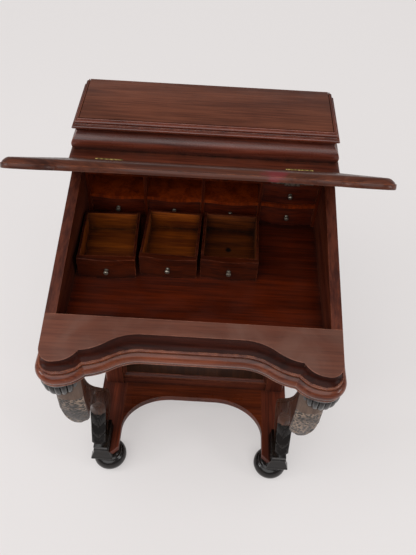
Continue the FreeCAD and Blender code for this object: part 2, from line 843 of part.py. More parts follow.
def small_knob():
    """A small metal knob on the middle of a small drawer's front, in the drawer's own frame."""
    sizes = (c.small_knob_radius, c.small_knob_neck, c.small_knob_length)
    outline = knob_outline(*(float(size) for size in sizes))
    knob = turned("small_knob", outline)
    knob.Placement.Rotation = Rotation(Vector(0, 0, 1), Vector(0, -1, 0))
    bind(knob, Base_y=-c.small_wave * 2, Base_z=small_height / 2)
    return knob


def build_small_drawers():
    """Eight small drawers: five in the nest and three lifted out on to the well floor."""
    pieces = small_drawer_pieces()
    knob = small_knob()
    home = c.small_wave * 2 + c.small_gap - c.nest_depth
    places = {
        f"lower_drawer_{number}": (column_middle(number), home, floor_top, 0.0)
        for number in range(1, 5)
    }
    places["upper_drawer_4"] = (column_middle(4), home, upper_floor, 0.0)
    loose = [
        (c.loose_depth_1, c.loose_shift_1, c.loose_turn_1),
        (c.loose_depth_2, c.loose_shift_2, c.loose_turn_2),
        (c.loose_depth_3, c.loose_shift_3, c.loose_turn_3),
    ]
    for number, (depth, shift, turn) in enumerate(loose, start=1):
        x = column_middle(number) + shift
        places[f"loose_drawer_{number}"] = (x, -depth, floor_top, float(turn))
    for name, (x, y, z, turn) in places.items():
        drawer = group(name, pieces)
        grip = group(name + "_grip", [knob])
        for item in (drawer, grip):
            item.Placement.Rotation = Rotation(Vector(0, 0, 1), turn)
            bind(item, Base_x=x, Base_y=y + back_y, Base_z=z)
        node(drawer, name)
        node(grip, name + "_knob")


def build_catch():
    """A small metal catch plate and its bars on the nest top's edge over the right-hand column."""
    middle = column_middle(4)
    plate_y = (-c.nest_depth - c.catch_thick, -c.nest_depth)
    plate = middle - c.catch_width / 2, middle + c.catch_width / 2
    bar = middle - c.catch_bar_width / 2, middle + c.catch_bar_width / 2
    high = nest_top + c.nest_board
    low = high - c.catch_bar_height
    pieces = [
        board("catch_bar_left", (bar[0], plate[0]), plate_y, (low, high)),
        board("catch_plate", plate, plate_y, (nest_top, high)),
        board("catch_bar_right", (plate[1], bar[1]), plate_y, (low, high)),
    ]
    node(fused("catch", pieces), "nest_catch")


# ------------------------------------------------------------------------------------------------
# Rear board, writing slope and their hinges
# ------------------------------------------------------------------------------------------------
def moulded_section(wide, thick, rounding):
    """Cross-section of a board with a rounded edge on both sides, base at 0."""
    corner = rounding * cos(radians(45))
    inner = wide - rounding
    low = thick - rounding
    right_middle = Vector(inner + corner, low + corner, 0)
    left_middle = Vector(-inner - corner, low + corner, 0)
    return [
        Part.LineSegment(Vector(-wide, 0, 0), Vector(wide, 0, 0)),
        Part.LineSegment(Vector(wide, 0, 0), Vector(wide, low, 0)),
        Part.Arc(Vector(wide, low, 0), right_middle, Vector(inner, thick, 0)),
        Part.LineSegment(Vector(inner, thick, 0), Vector(-inner, thick, 0)),
        Part.Arc(Vector(-inner, thick, 0), left_middle, Vector(-wide, low, 0)),
        Part.LineSegment(Vector(-wide, low, 0), Vector(-wide, 0, 0)),
    ]


def leaf_start(hinge_half, sign):
    """Left end of a hinge on the left (-1) or right (1) side."""
    return hinge_half * sign - c.leaf_length / 2


def build_rear_board():
    """The fixed board behind the slope, under the stationery box, cut for the hinges."""
    edge = c.hinge_gap - c.hinge_depth
    wide = float(half + c.rear_board_overhang)
    section = moulded_section(wide, float(c.rear_board_thick), float(c.edge_round))
    blank = padded("rear_board_blank", "XZ_Plane", section, -edge)
    bind(blank, Base_y=back_y, Base_z=rim_height)
    tools = []
    for side, sign in (("left", -1), ("right", 1)):
        low = leaf_start(slope_hinge_half, sign)
        base = (low - c.knuckle_gap, -c.hinge_depth, pivot_height)
        room = c.knuckle_radius + c.knuckle_clearance
        tools.append(rod(f"rear_groove_{side}", room, c.leaf_length + c.knuckle_gap * 2, base))
        seat_z = (pivot_height - c.knuckle_radius - c.leaf_height, pivot_height)
        seat_x = (low, low + c.leaf_length)
        tools.append(board(f"rear_seat_{side}", seat_x, (edge, edge + c.leaf_thick), seat_z))
    node(cut("rear_board_cut", blank, tools), "rear_board")


def slope_placement():
    """The open slope: turned up about the pivot line from its own flat frame."""
    turn = Rotation(Vector(1, 0, 0), -float(c.slope_open_angle))
    return Placement(Vector(0, float(back_y) - float(c.hinge_depth), float(pivot_height)), turn)


def from_shut(y, z):
    """A side-view point of the shut slope, about its pivot line, in the slope's own flat frame."""
    return y * cos(slope) + z * sin(slope), z * cos(slope) - y * sin(slope)


def let_in(low, length, thick, top, tall):
    """A block behind the pivot edge, which stands upright when the slope is shut."""
    block = Part.makeBox(length, thick, tall, Vector(low, -float(c.hinge_gap) - thick, top - tall))
    block.rotate(Vector(0, 0, 0), Vector(1, 0, 0), -float(c.slope_angle))
    return block


def moving_leaf(low):
    """The slope's leaf: a plate let into the pivot edge below the knuckles."""
    top = -float(c.knuckle_radius + c.knuckle_clearance)
    return let_in(low, float(c.leaf_length), float(c.leaf_thick), top, float(c.slope_leaf_height))


def moving_web(low):
    """The tongue that carries the middle knuckle on the slope's leaf."""
    third = float(c.leaf_length) / 3
    slack = float(c.knuckle_gap)
    leaf = float(c.leaf_thick)
    tall = float(c.knuckle_radius + c.knuckle_clearance) + leaf
    return let_in(low + third + slack, third - 2 * slack, leaf * 1.5, 0, tall)


def build_slope():
    """The writing slope, modelled flat with the pivot line at y = 0 and z = 0.

    Its face lies level with the pivot line, and its underside just clear of the rim when it is shut.
    """
    stretch = 1 / cos(slope)
    hinge = float(c.hinge_depth)
    over = float(c.slope_front_overhang)
    depths = (c.lobe_depth, recess_depth, cusp_depth)
    along = [(float(depth) + over - hinge) * stretch for depth in depths]
    gap = float(c.hinge_gap)
    thick = float(c.slope_thick)
    wide = float(slope_half)
    under = float(c.slope_clearance) - float(c.rear_board_thick) * cos(slope)
    blank = raised(plan_face(wide, *along, gap), under, under + thick)
    rims = [
        edge for edge in blank.Edges
        if edge.BoundBox.ZMin > under + thick / 2 and edge.BoundBox.YMin < -thick
    ]
    blank = blank.makeChamfer(float(c.slope_chamfer), rims)
    # The pivot edge stands upright when the slope is shut, so it leans in the flat frame.
    corners = [(-gap, thick), (thick, thick), (thick, -2 * thick), (-gap, -2 * thick)]
    blank = blank.cut(side_profile_prism([from_shut(*corner) for corner in corners], wide))
    room = float(c.knuckle_radius + c.knuckle_clearance)
    slack = float(c.knuckle_gap)
    length = float(c.leaf_length) + 2 * slack
    for sign in (-1, 1):
        low = float(leaf_start(slope_hinge_half, sign))
        groove = Part.makeCylinder(room, length, Vector(low - slack, 0, 0), Vector(1, 0, 0))
        blank = blank.cut([groove, moving_leaf(low), moving_web(low)])
    node(modelled("slope", blank, slope_placement()), "slope_board")


def build_slope_hinges():
    """Two brass butts: fixed leaves in the rear board's edge, moving leaves in the slope's."""
    edge = c.hinge_gap - c.hinge_depth
    third = c.leaf_length / 3
    bore = c.pin_radius + c.pin_clearance
    fixed = []
    for side, sign in (("left", -1), ("right", 1)):
        low = leaf_start(slope_hinge_half, sign)
        axis = (-c.hinge_depth, pivot_height)
        plate_x = (low, low + c.leaf_length)
        plate_y = (edge, edge + c.leaf_thick)
        plate_z = (pivot_height - c.knuckle_radius - c.leaf_height, pivot_height)
        plate = board(f"slope_plate_{side}", plate_x, plate_y, plate_z)
        first = rod(f"slope_knuckle_{side}_1", c.knuckle_radius, third, (low, *axis))
        last = rod(f"slope_knuckle_{side}_3", c.knuckle_radius, third, (low + third * 2, *axis))
        middle = (low + third, *axis)
        room = rod(f"slope_room_{side}", c.knuckle_radius + c.knuckle_clearance, third, middle)
        hole = rod(f"slope_bore_{side}", bore, c.leaf_length, (low, *axis))
        blank = fused(f"slope_blank_{side}", [plate, first, last])
        leaf = cut(f"slope_leaf_{side}", blank, [room, hole])
        pin = rod(f"slope_pin_{side}", c.pin_radius, c.leaf_length, (low, *axis))
        fixed += [leaf, pin]
    node(group("slope_fixed_leaves", fixed), "slope_hinge_fixed_leaves")

    moving = []
    gap = float(c.knuckle_gap)
    across = Vector(1, 0, 0)
    for sign in (-1, 1):
        low = float(leaf_start(slope_hinge_half, sign))
        start = Vector(low + float(third) + gap, 0, 0)
        length = float(third) - 2 * gap
        knuckle = Part.makeCylinder(float(c.knuckle_radius), length, start, across)
        hole = Part.makeCylinder(float(bore), length, start, across)
        moving.append(knuckle.fuse([moving_web(low), moving_leaf(low)]).cut(hole))
    leaves = modelled("slope_moving", Part.makeCompound(moving), slope_placement())
    node(leaves, "slope_hinge_moving_leaves")


# ------------------------------------------------------------------------------------------------
# Stationery box
# ------------------------------------------------------------------------------------------------
def frieze_face():
    """Section of the box's cushion frieze: hollow at the neck, swelling below, flat inside.

    The section's x runs outwards from the neck, and its y runs up.
    """
    tall = float(c.box_height)
    bulge = float(c.box_bulge)
    foot = float(c.box_foot_swell)
    lip = float(c.box_neck_hollow)
    wall = float(c.box_wall)
    outer = Part.BSplineCurve()
    outer.interpolate([
        Vector(lip, tall, 0), Vector(0, tall * 0.82, 0), Vector(lip, tall * 0.68, 0),
        Vector(bulge * 0.85, tall * 0.46, 0), Vector(bulge, tall * 0.27, 0), Vector(foot, 0, 0),
    ])
    points = [Vector(foot, 0, 0), Vector(-wall, 0, 0), Vector(-wall, tall, 0), Vector(lip, tall, 0)]
    straight = [Part.LineSegment(start, end).toShape() for start, end in zip(points, points[1:])]
    return joined_face([outer.toShape()] + straight)


def frieze_run(out, length, corner):
    """A length of frieze whose outward side faces a direction, from a corner of its neck line."""
    solid = frieze_face().extrude(Vector(0, 0, length))
    up = Vector(0, 0, 1)
    solid.Placement = Placement(corner, Rotation(out, up, out.cross(up), "XYZ"))
    return solid


def build_stationery_box():
    """Cushion frieze at the front and both ends, mitred at the corners, and a plain back."""
    base = float(pivot_height)
    tall = float(c.box_height)
    side = float(box_half)
    front = -float(box_depth)
    rear = -float(c.box_rear_inset)
    bulge = float(c.box_bulge)
    wall = float(c.box_wall)
    reach = 2 * (side + bulge)
    long_run = frieze_run(Vector(0, -1, 0), reach, Vector(reach / 2, front, base))
    end_run = frieze_run(Vector(1, 0, 0), rear - front + bulge, Vector(side, rear, base))
    # Plan wedges that meet along the mitre lines through the front corners of the neck.
    far = wall + bulge
    outside = [(side + far, front - far), (-side - far, front - far)]
    inside = [(-side + far, front + far), (side - far, front + far)]
    end_corners = [inside[1], outside[0], (side + far, rear), (side - far, rear)]
    front_wedge = swept([Vector(x, y, base) for x, y in outside + inside], Vector(0, 0, tall))
    end_wedge = swept([Vector(x, y, base) for x, y in end_corners], Vector(0, 0, tall))
    node(modelled("box_front", long_run.common(front_wedge)), "stationery_box_front")
    right = modelled("box_end_right", end_run.common(end_wedge))
    node(group("box_ends", [right, mirrored("box_end_left", right)]), "stationery_box_ends")
    inner = box_half - c.box_wall
    back = (-c.box_rear_inset - c.box_wall, -c.box_rear_inset)
    node(board("box_back", (-inner, inner), back, (pivot_height, box_top)), "stationery_box_back")


def build_stationery_lid():
    """The lid: a flat panel framed at the front and both ends by a stepped moulding."""
    rear = -c.box_rear_inset
    panel_half = lid_half - c.lid_panel_inset
    panel_y = (c.lid_panel_inset - lid_front, rear)
    panel_z = (box_top, box_top + c.lid_thick)
    panel = board("lid_panel", (-panel_half, panel_half), panel_y, panel_z)

    outer = float(lid_half)
    front = -float(lid_front)
    back = -float(c.box_rear_inset)
    high = float(c.lid_thick) - float(c.lid_drop)

    def tray(low, top, inset):
        size = (2 * (outer - inset), back - front - inset, top - low)
        return Part.makeBox(*size, Vector(inset - outer, front + inset, low))

    bead = float(c.lid_bead)
    rise = float(c.lid_rise)
    courses = [tray(bead, rise, float(c.lid_bead_inset)), tray(rise, high, float(c.lid_rise_inset))]
    hollow = tray(0, high, float(c.lid_panel_inset))
    frame = tray(0, bead, 0).fuse(courses).cut(hollow).removeSplitter()
    place = Placement(Vector(0, float(back_y), float(box_top)), Rotation())
    node(group("lid", [panel, modelled("lid_frame", frame, place)]), "stationery_lid")


def build_box_hinges():
    """Two brass hinges on the back of the stationery box and of its lid."""
    face = -c.box_rear_inset
    axis = (face + c.knuckle_radius + c.knuckle_clearance, box_top)
    third = c.leaf_length / 3
    room = c.knuckle_radius + c.knuckle_clearance
    plate_y = (face, face + c.leaf_thick)
    gap = c.knuckle_gap
    leaves = {"fixed": [], "moving": []}
    kinds = {
        "fixed": (box_top - c.knuckle_radius - c.leaf_height, box_top - c.knuckle_clearance),
        "moving": (box_top + c.knuckle_clearance, box_top + c.knuckle_radius + c.leaf_height),
    }
    for side, sign in (("left", -1), ("right", 1)):
        low = leaf_start(box_hinge_half, sign)
        thirds = [low, low + third, low + third * 2]
        for kind, heights in kinds.items():
            name = f"box_{kind}_{side}"
            own = thirds[::2] if kind == "fixed" else thirds[1:2]
            other = thirds[1:2] if kind == "fixed" else thirds[::2]
            slack = as_size(0) if kind == "fixed" else gap
            plate = board(f"{name}_plate", (low, low + c.leaf_length), plate_y, heights)
            reach = third - slack * 2
            knuckles = [
                rod(f"{name}_knuckle_{index}", c.knuckle_radius, reach, (start + slack, *axis))
                for index, start in enumerate(own)
            ]
            rooms = [
                rod(f"{name}_room_{index}", room, third + slack * 2, (start - slack, *axis))
                for index, start in enumerate(other)
            ]
            hole = rod(f"{name}_bore", c.pin_radius + c.pin_clearance, c.leaf_length, (low, *axis))
            blank = fused(f"{name}_blank", [plate] + knuckles)
            leaves[kind].append(cut(f"{name}_leaf", blank, rooms + [hole]))
        leaves["fixed"].append(rod(f"box_pin_{side}", c.pin_radius, c.leaf_length, (low, *axis)))
    node(group("box_fixed_leaves", leaves["fixed"]), "box_hinge_fixed_leaves")
    node(group("box_moving_leaves", leaves["moving"]), "box_hinge_moving_leaves")


# ------------------------------------------------------------------------------------------------
# Scroll legs
# ------------------------------------------------------------------------------------------------
LEG_REAR = [
    (188, 0.0), (214, 0.06), (224, 0.13), (212, 0.225), (178, 0.345),
    (140, 0.485), (104, 0.62), (74, 0.75), (54, 0.875), (42, 1.0),
]
LEG_ARCH = [
    (106, 0.0), (124, 0.055), (143, 0.115), (150, 0.19), (142, 0.275),
    (120, 0.385), (98, 0.475), (77, 0.525), (57, 0.538),
]
LEG_KNEE = [(57, 0.538), (30, 0.556), (12, 0.62), (2, 0.72), (-1, 0.82), (3, 0.9), (8, 1.0)]


def leg_profile():
    """Side outline of the leg as a face in the YZ plane at x = 0.

    Each edge is a smooth curve through points given as a setback from the lobe's front and a
    share of the leg's height above its foot block.
    """
    low = float(block_top)
    tall = float(c.desk_underside) - low
    front = -float(c.lobe_depth)

    def smooth(points):
        curve = Part.BSplineCurve()
        curve.interpolate([Vector(0, front + back, low + share * tall) for back, share in points])
        return curve

    rear, arch, knee = smooth(LEG_REAR), smooth(LEG_ARCH), smooth(LEG_KNEE)
    head = Part.LineSegment(knee.EndPoint, rear.EndPoint)
    foot = Part.LineSegment(rear.StartPoint, arch.StartPoint)
    return joined_face([curve.toShape() for curve in (rear, arch, knee, head, foot)])


def build_legs():
    """Sawn scroll legs with a broad knee, a turned capital on top and a stepped block below."""
    middle = float(leg_middle)
    front = -float(c.lobe_depth)
    under = float(c.desk_underside)
    low = float(block_top)
    thin = float(c.scroll_thick)
    wide = float(c.knee_thick)
    profile = leg_profile()
    scroll = profile.extrude(Vector(thin, 0, 0))
    scroll.translate(Vector(middle - thin / 2, 0, 0))
    knee = profile.extrude(Vector(wide, 0, 0))
    knee.translate(Vector(middle - wide / 2, 0, 0))
    knee_back = front + float(c.knee_depth)
    half_way = (low + under) / 2
    reach = Part.makeBox(wide, 2 * float(c.knee_depth), under - half_way,
                         Vector(middle - wide / 2, knee_back - 2 * float(c.knee_depth), half_way))
    leg = scroll.fuse(knee.common(reach)).removeSplitter()
    right = modelled("leg_right_shape", leg)
    node(right, "leg_right")
    node(mirrored("leg_left_shape", right), "leg_left")

    # The capital is a turned cushion cut round the leg's head.
    radius = float(c.capital_radius)
    waist = float(c.capital_waist)
    tall = float(c.capital_height)
    swell = Vector(radius * 0.93, tall * 0.42, 0)
    shoulder = Vector(radius * 0.96, tall * 0.8, 0)
    outline = [
        Part.LineSegment(Vector(0, 0, 0), Vector(waist, 0, 0)),
        Part.Arc(Vector(waist, 0, 0), swell, shoulder),
        Part.LineSegment(shoulder, Vector(radius, tall, 0)),
        Part.LineSegment(Vector(radius, tall, 0), Vector(0, tall, 0)),
        Part.LineSegment(Vector(0, tall, 0), Vector(0, 0, 0)),
    ]
    half_section = joined_face([curve.toShape() for curve in outline])
    cushion = half_section.revolve(Vector(0, 0, 0), Vector(0, 1, 0), 360)
    cushion.rotate(Vector(0, 0, 0), Vector(1, 0, 0), 90)
    centre = middle + float(c.capital_shift)
    cushion.translate(Vector(centre, front + float(c.capital_setback), under - tall))
    corner = Vector(centre - 2 * radius, knee_back, under - tall)
    behind = Part.makeBox(4 * radius, 4 * radius, tall, corner)
    capital = modelled("capital_right", cushion.cut([leg, behind]))
    node(group("capitals", [capital, mirrored("capital_left", capital)]), "leg_capitals")

    # The foot block steps in twice at its front and on its inner side as it rises.
    outer = platform_half
    inner = outer - c.block_width
    height = c.block_height / 3
    courses = []
    for level in range(3):
        inset = c.block_step * level
        block_y = (inset - runner_front, c.block_length - runner_front)
        block_z = (c.platform_top + height * level, c.platform_top + height * (level + 1))
        courses.append(board(f"block_course_{level}", (inner + inset, outer), block_y, block_z))
    stack = fused("block_right", courses)
    node(group("foot_blocks", [stack, mirrored("block_left", stack)]), "leg_foot_blocks")


# ------------------------------------------------------------------------------------------------
# Build, check and write
# ------------------------------------------------------------------------------------------------
def build():
    """Make every sub-part of the desk."""
    build_platform()
    build_feet()
    build_pedestal_frame()
    build_drawer_frame()
    build_side_drawers()
    build_sham_fronts()
    build_desk_box()
    build_desk_moulding()
    build_nest()
    build_small_drawers()
    build_catch()
    build_rear_board()
    build_slope()
    build_slope_hinges()
    build_stationery_box()
    build_stationery_lid()
    build_box_hinges()
    build_legs()


def write():
    """Check every object and write each sub-part's STEP file."""
    doc.recompute()
    for item in doc.Objects:
        if "Invalid" in item.State or "Error" in item.State:
            raise RuntimeError(f"{item.Label} failed: {item.State}")
    for item in nodes:
        if item.Shape.isNull() or not item.Shape.isValid() or not item.Shape.Solids:
            raise RuntimeError(f"{item.Label} has no valid solid")
    os.makedirs("parts", exist_ok=True)
    for item in nodes:
        item.Shape.exportStep(os.path.join("parts", item.Label + ".step"))
    print(f"wrote {len(nodes)} sub-parts")


build()
write()
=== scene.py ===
"""A davenport desk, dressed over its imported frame.

Every length is in metres, in the frame's own axes: +X to the sitter's right, +Y to the back, +Z up.
"""
import logging
from dataclasses import dataclass
from enum import Enum
from math import atan2, cos, pi, radians, sin, sqrt, tan
from typing import Callable, Iterable, Sequence

import bmesh
import bpy
from mathutils import Matrix, Vector

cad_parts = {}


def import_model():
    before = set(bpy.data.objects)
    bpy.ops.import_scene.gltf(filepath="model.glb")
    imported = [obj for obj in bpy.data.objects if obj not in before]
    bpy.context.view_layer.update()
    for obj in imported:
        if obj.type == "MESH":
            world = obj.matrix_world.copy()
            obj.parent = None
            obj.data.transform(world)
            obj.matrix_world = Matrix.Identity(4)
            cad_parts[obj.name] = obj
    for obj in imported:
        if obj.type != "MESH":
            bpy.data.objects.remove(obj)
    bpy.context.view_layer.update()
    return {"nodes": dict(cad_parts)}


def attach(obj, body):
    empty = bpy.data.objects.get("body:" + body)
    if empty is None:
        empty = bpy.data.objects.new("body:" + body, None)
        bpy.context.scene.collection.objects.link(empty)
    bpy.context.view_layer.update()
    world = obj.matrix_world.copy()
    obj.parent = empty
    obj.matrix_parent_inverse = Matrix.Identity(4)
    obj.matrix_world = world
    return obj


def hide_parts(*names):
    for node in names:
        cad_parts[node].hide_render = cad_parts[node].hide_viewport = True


log = logging.getLogger("davenport")

Point = tuple[float, float]
Colour = tuple[float, float, float, float]
Place = Callable[[Vector, Vector], bool]
Piece = bpy.types.Object
Socket = bpy.types.NodeSocket
Material = bpy.types.Material


# Finishes
class Slot(Enum):
    """Material slots of the record, passed along with each finer piece when it is installed."""

    MAHOGANY = "mahogany"
    CARVED = "carved_mahogany"
    EBONISED = "ebonised_wood"
    SMALL_DRAWER = "small_drawer"
    PEWTER = "pewter"


class Grain(Enum):
    """Which way the wood's fibres run, as the turn that brings them to the X axis."""

    ACROSS = (0.0, 0.0, 0.0)
    DEEP = (0.0, 0.0, pi / 2)
    UPRIGHT = (0.0, pi / 2, 0.0)


def tone(red: int, green: int, blue: int) -> Colour:
    """Turn a screen colour of 0 to 255 into the linear colour that a shader takes."""

    def linear(value: int) -> float:
        """One channel, linear."""
        share = value / 255
        return share / 12.92 if share <= 0.04045 else ((share + 0.055) / 1.055) ** 2.4

    return linear(red), linear(green), linear(blue), 1.0


class Graph:
    """Adds linked nodes to one node tree."""

    def __init__(self, tree: bpy.types.NodeTree) -> None:
        """Keep the tree that nodes are added to."""
        self.tree = tree

    def add(self, kind: str, inputs: dict | None = None, **settings: object) -> bpy.types.Node:
        """Add a node, set it up and feed its inputs.

        Args:
            kind: The node's type name without "ShaderNode".
            inputs: Values or output sockets, by the input's name or number.
            settings: Properties of the node itself.

        Returns:
            The new node.
        """
        node = self.tree.nodes.new("ShaderNode" + kind)
        for name, value in settings.items():
            setattr(node, name, value)
        self.feed(node, inputs or {})
        return node

    def feed(self, node: bpy.types.Node, inputs: dict) -> None:
        """Link sockets to a node's inputs, or set them to plain values.

        Args:
            node: The node.
            inputs: Values or output sockets, by the input's name or number.
        """
        for key, value in inputs.items():
            if isinstance(value, Socket):
                self.tree.links.new(value, node.inputs[key])
            else:
                node.inputs[key].default_value = value

    def math(self, operation: str, first: object, second: object = 0.0) -> Socket:
        """Add an arithmetic node and return its output."""
        return self.add("Math", {0: first, 1: second}, operation=operation).outputs[0]

    def span(self, value: object, low: float, high: float, start: float, end: float) -> Socket:
        """Map the span from low to high smoothly to the span from start to end, clamped."""
        inputs = {"Value": value, "From Min": low, "From Max": high, "To Min": start, "To Max": end}
        return self.add("MapRange", inputs, interpolation_type="SMOOTHSTEP").outputs[0]

    def mix(self, share: object, first: object, second: object, blend: str = "MIX") -> Socket:
        """Mix two colours by a share, and return the mixed colour."""
        node = self.add("Mix", {0: share, 6: first, 7: second}, data_type="RGBA", blend_type=blend)
        return node.outputs[2]

    def noise(self, vector: object, scale: float, detail: float = 3.0, twist: float = 0.0) -> Socket:
        """Add a noise texture and return its value."""
        inputs = {"Vector": vector, "Scale": scale, "Detail": detail, "Distortion": twist}
        return self.add("TexNoise", inputs).outputs[0]

    def mask(self, tree: bpy.types.NodeTree, where: object, amount: float, size_name: str, size: float) -> Socket:
        """Place a shared mask group with its own values and return its mask."""
        inputs = {"Vector": where, "Amount": amount, size_name: size}
        return self.add("Group", inputs, node_tree=tree).outputs["Mask"]


class SharedGroups:
    """The shader node groups that several finishes use, each built once."""

    def __init__(self) -> None:
        """Build every group."""
        self.wear = self._edge_wear()
        self.dust_and_shade = self._hollow_dust_and_shade()
        self.grain = self._wood_grain()

    @staticmethod
    def _start(name: str, inputs: dict[str, str], outputs: dict[str, str]) -> tuple:
        """Start a group with its sockets.

        Args:
            name: The group's name.
            inputs: Socket types by input name.
            outputs: Socket types by output name.

        Returns:
            The group's tree, its graph, its input node and its output node.
        """
        tree = bpy.data.node_groups.new(name, "ShaderNodeTree")
        for side, sockets in (("INPUT", inputs), ("OUTPUT", outputs)):
            for label, kind in sockets.items():
                tree.interface.new_socket(name=label, in_out=side, socket_type="NodeSocket" + kind)
        source = tree.nodes.new("NodeGroupInput")
        result = tree.nodes.new("NodeGroupOutput")
        return tree, Graph(tree), source, result

    @staticmethod
    def _patchy(graph: Graph, mask: object, patch: object, source: bpy.types.Node) -> Socket:
        """A mask times its patches and the group's amount."""
        return graph.math("MULTIPLY", graph.math("MULTIPLY", mask, patch), source.outputs["Amount"])

    def _edge_wear(self) -> bpy.types.NodeTree:
        """A mask that is 1 on rubbed edges: where a rounded normal leaves the true one."""
        tree, graph, source, result = self._start(
            "edge_wear", {"Vector": "Vector", "Amount": "Float", "Width": "Float"}, {"Mask": "Float"})
        rounded = graph.add("Bevel", {"Radius": source.outputs["Width"]}, samples=4)
        plain = graph.add("NewGeometry")
        dot = graph.add("VectorMath", {0: rounded.outputs[0], 1: plain.outputs["Normal"]}, operation="DOT_PRODUCT")
        edge = graph.span(graph.math("SUBTRACT", 1.0, dot.outputs["Value"]), 0.01, 0.16, 0.0, 1.0)
        patch = graph.span(graph.noise(source.outputs["Vector"], 60.0, 4.0), 0.38, 0.62, 0.15, 1.0)
        graph.feed(result, {"Mask": self._patchy(graph, edge, patch, source)})
        return tree

    def _hollow_dust_and_shade(self) -> bpy.types.NodeTree:
        """A mask that is 1 in corners and hollows: painted shade there, together with the polish and dust that
        gather there.
        """
        tree, graph, source, result = self._start(
            "hollow_dust_and_shade", {"Vector": "Vector", "Amount": "Float", "Reach": "Float"}, {"Mask": "Float"})
        # Ambient occlusion finds the corners and hollows; darkening them is painted shade, together with the dust
        # there.
        shade = graph.add("AmbientOcclusion", {"Distance": source.outputs["Reach"]}, samples=4)
        hollow = graph.span(shade.outputs["AO"], 0.35, 0.95, 1.0, 0.0)
        patch = graph.span(graph.noise(source.outputs["Vector"], 45.0, 3.0), 0.3, 0.7, 0.55, 1.0)
        graph.feed(result, {"Mask": self._patchy(graph, hollow, patch, source)})
        return tree

    def _wood_grain(self) -> bpy.types.NodeTree:
        """Mahogany figure along X: broad bands, a ribbon shimmer and short dark pores."""
        tree, graph, source, result = self._start(
            "wood_grain", {"Vector": "Vector", "Scale": "Float"},
            {"Figure": "Float", "Pores": "Float", "Cloud": "Float", "Height": "Float"})
        inputs = {0: source.outputs["Vector"], 3: source.outputs["Scale"]}
        vector = graph.add("VectorMath", inputs, operation="SCALE")
        broad = graph.add("VectorMath", {0: vector.outputs[0], 1: (1.0, 13.0, 13.0)}, operation="MULTIPLY")
        fine = graph.add("VectorMath", {0: vector.outputs[0], 1: (3.5, 95.0, 95.0)}, operation="MULTIPLY")
        bands = graph.noise(broad.outputs[0], 2.6, 5.0, 0.5)
        ribbon = graph.noise(fine.outputs[0], 2.2, 3.0, 0.2)
        figure = graph.math("ADD", graph.math("MULTIPLY", bands, 0.55), graph.math("MULTIPLY", ribbon, 0.45))
        streak = graph.noise(fine.outputs[0], 6.0, 2.0)
        pores = graph.span(streak, 0.58, 0.72, 0.0, 1.0)
        cloud = graph.noise(vector.outputs[0], 5.5, 4.0, 0.4)
        height = graph.math("SUBTRACT", graph.math("MULTIPLY", ribbon, 0.25), graph.math("MULTIPLY", pores, 0.6))
        figure = graph.span(figure, 0.34, 0.66, 0.0, 1.0)
        graph.feed(result, {"Figure": figure, "Pores": pores, "Cloud": cloud, "Height": height})
        return tree


def blank_material(name: str) -> tuple[Material, Graph, bpy.types.Node]:
    """Make an empty node material.

    Args:
        name: The material's name.

    Returns:
        The material, its graph and its Principled shader, already linked to the output.
    """
    material = bpy.data.materials.new(name)
    material.use_nodes = True
    tree = material.node_tree
    shader = next(node for node in tree.nodes if node.type == "BSDF_PRINCIPLED")
    return material, Graph(tree), shader


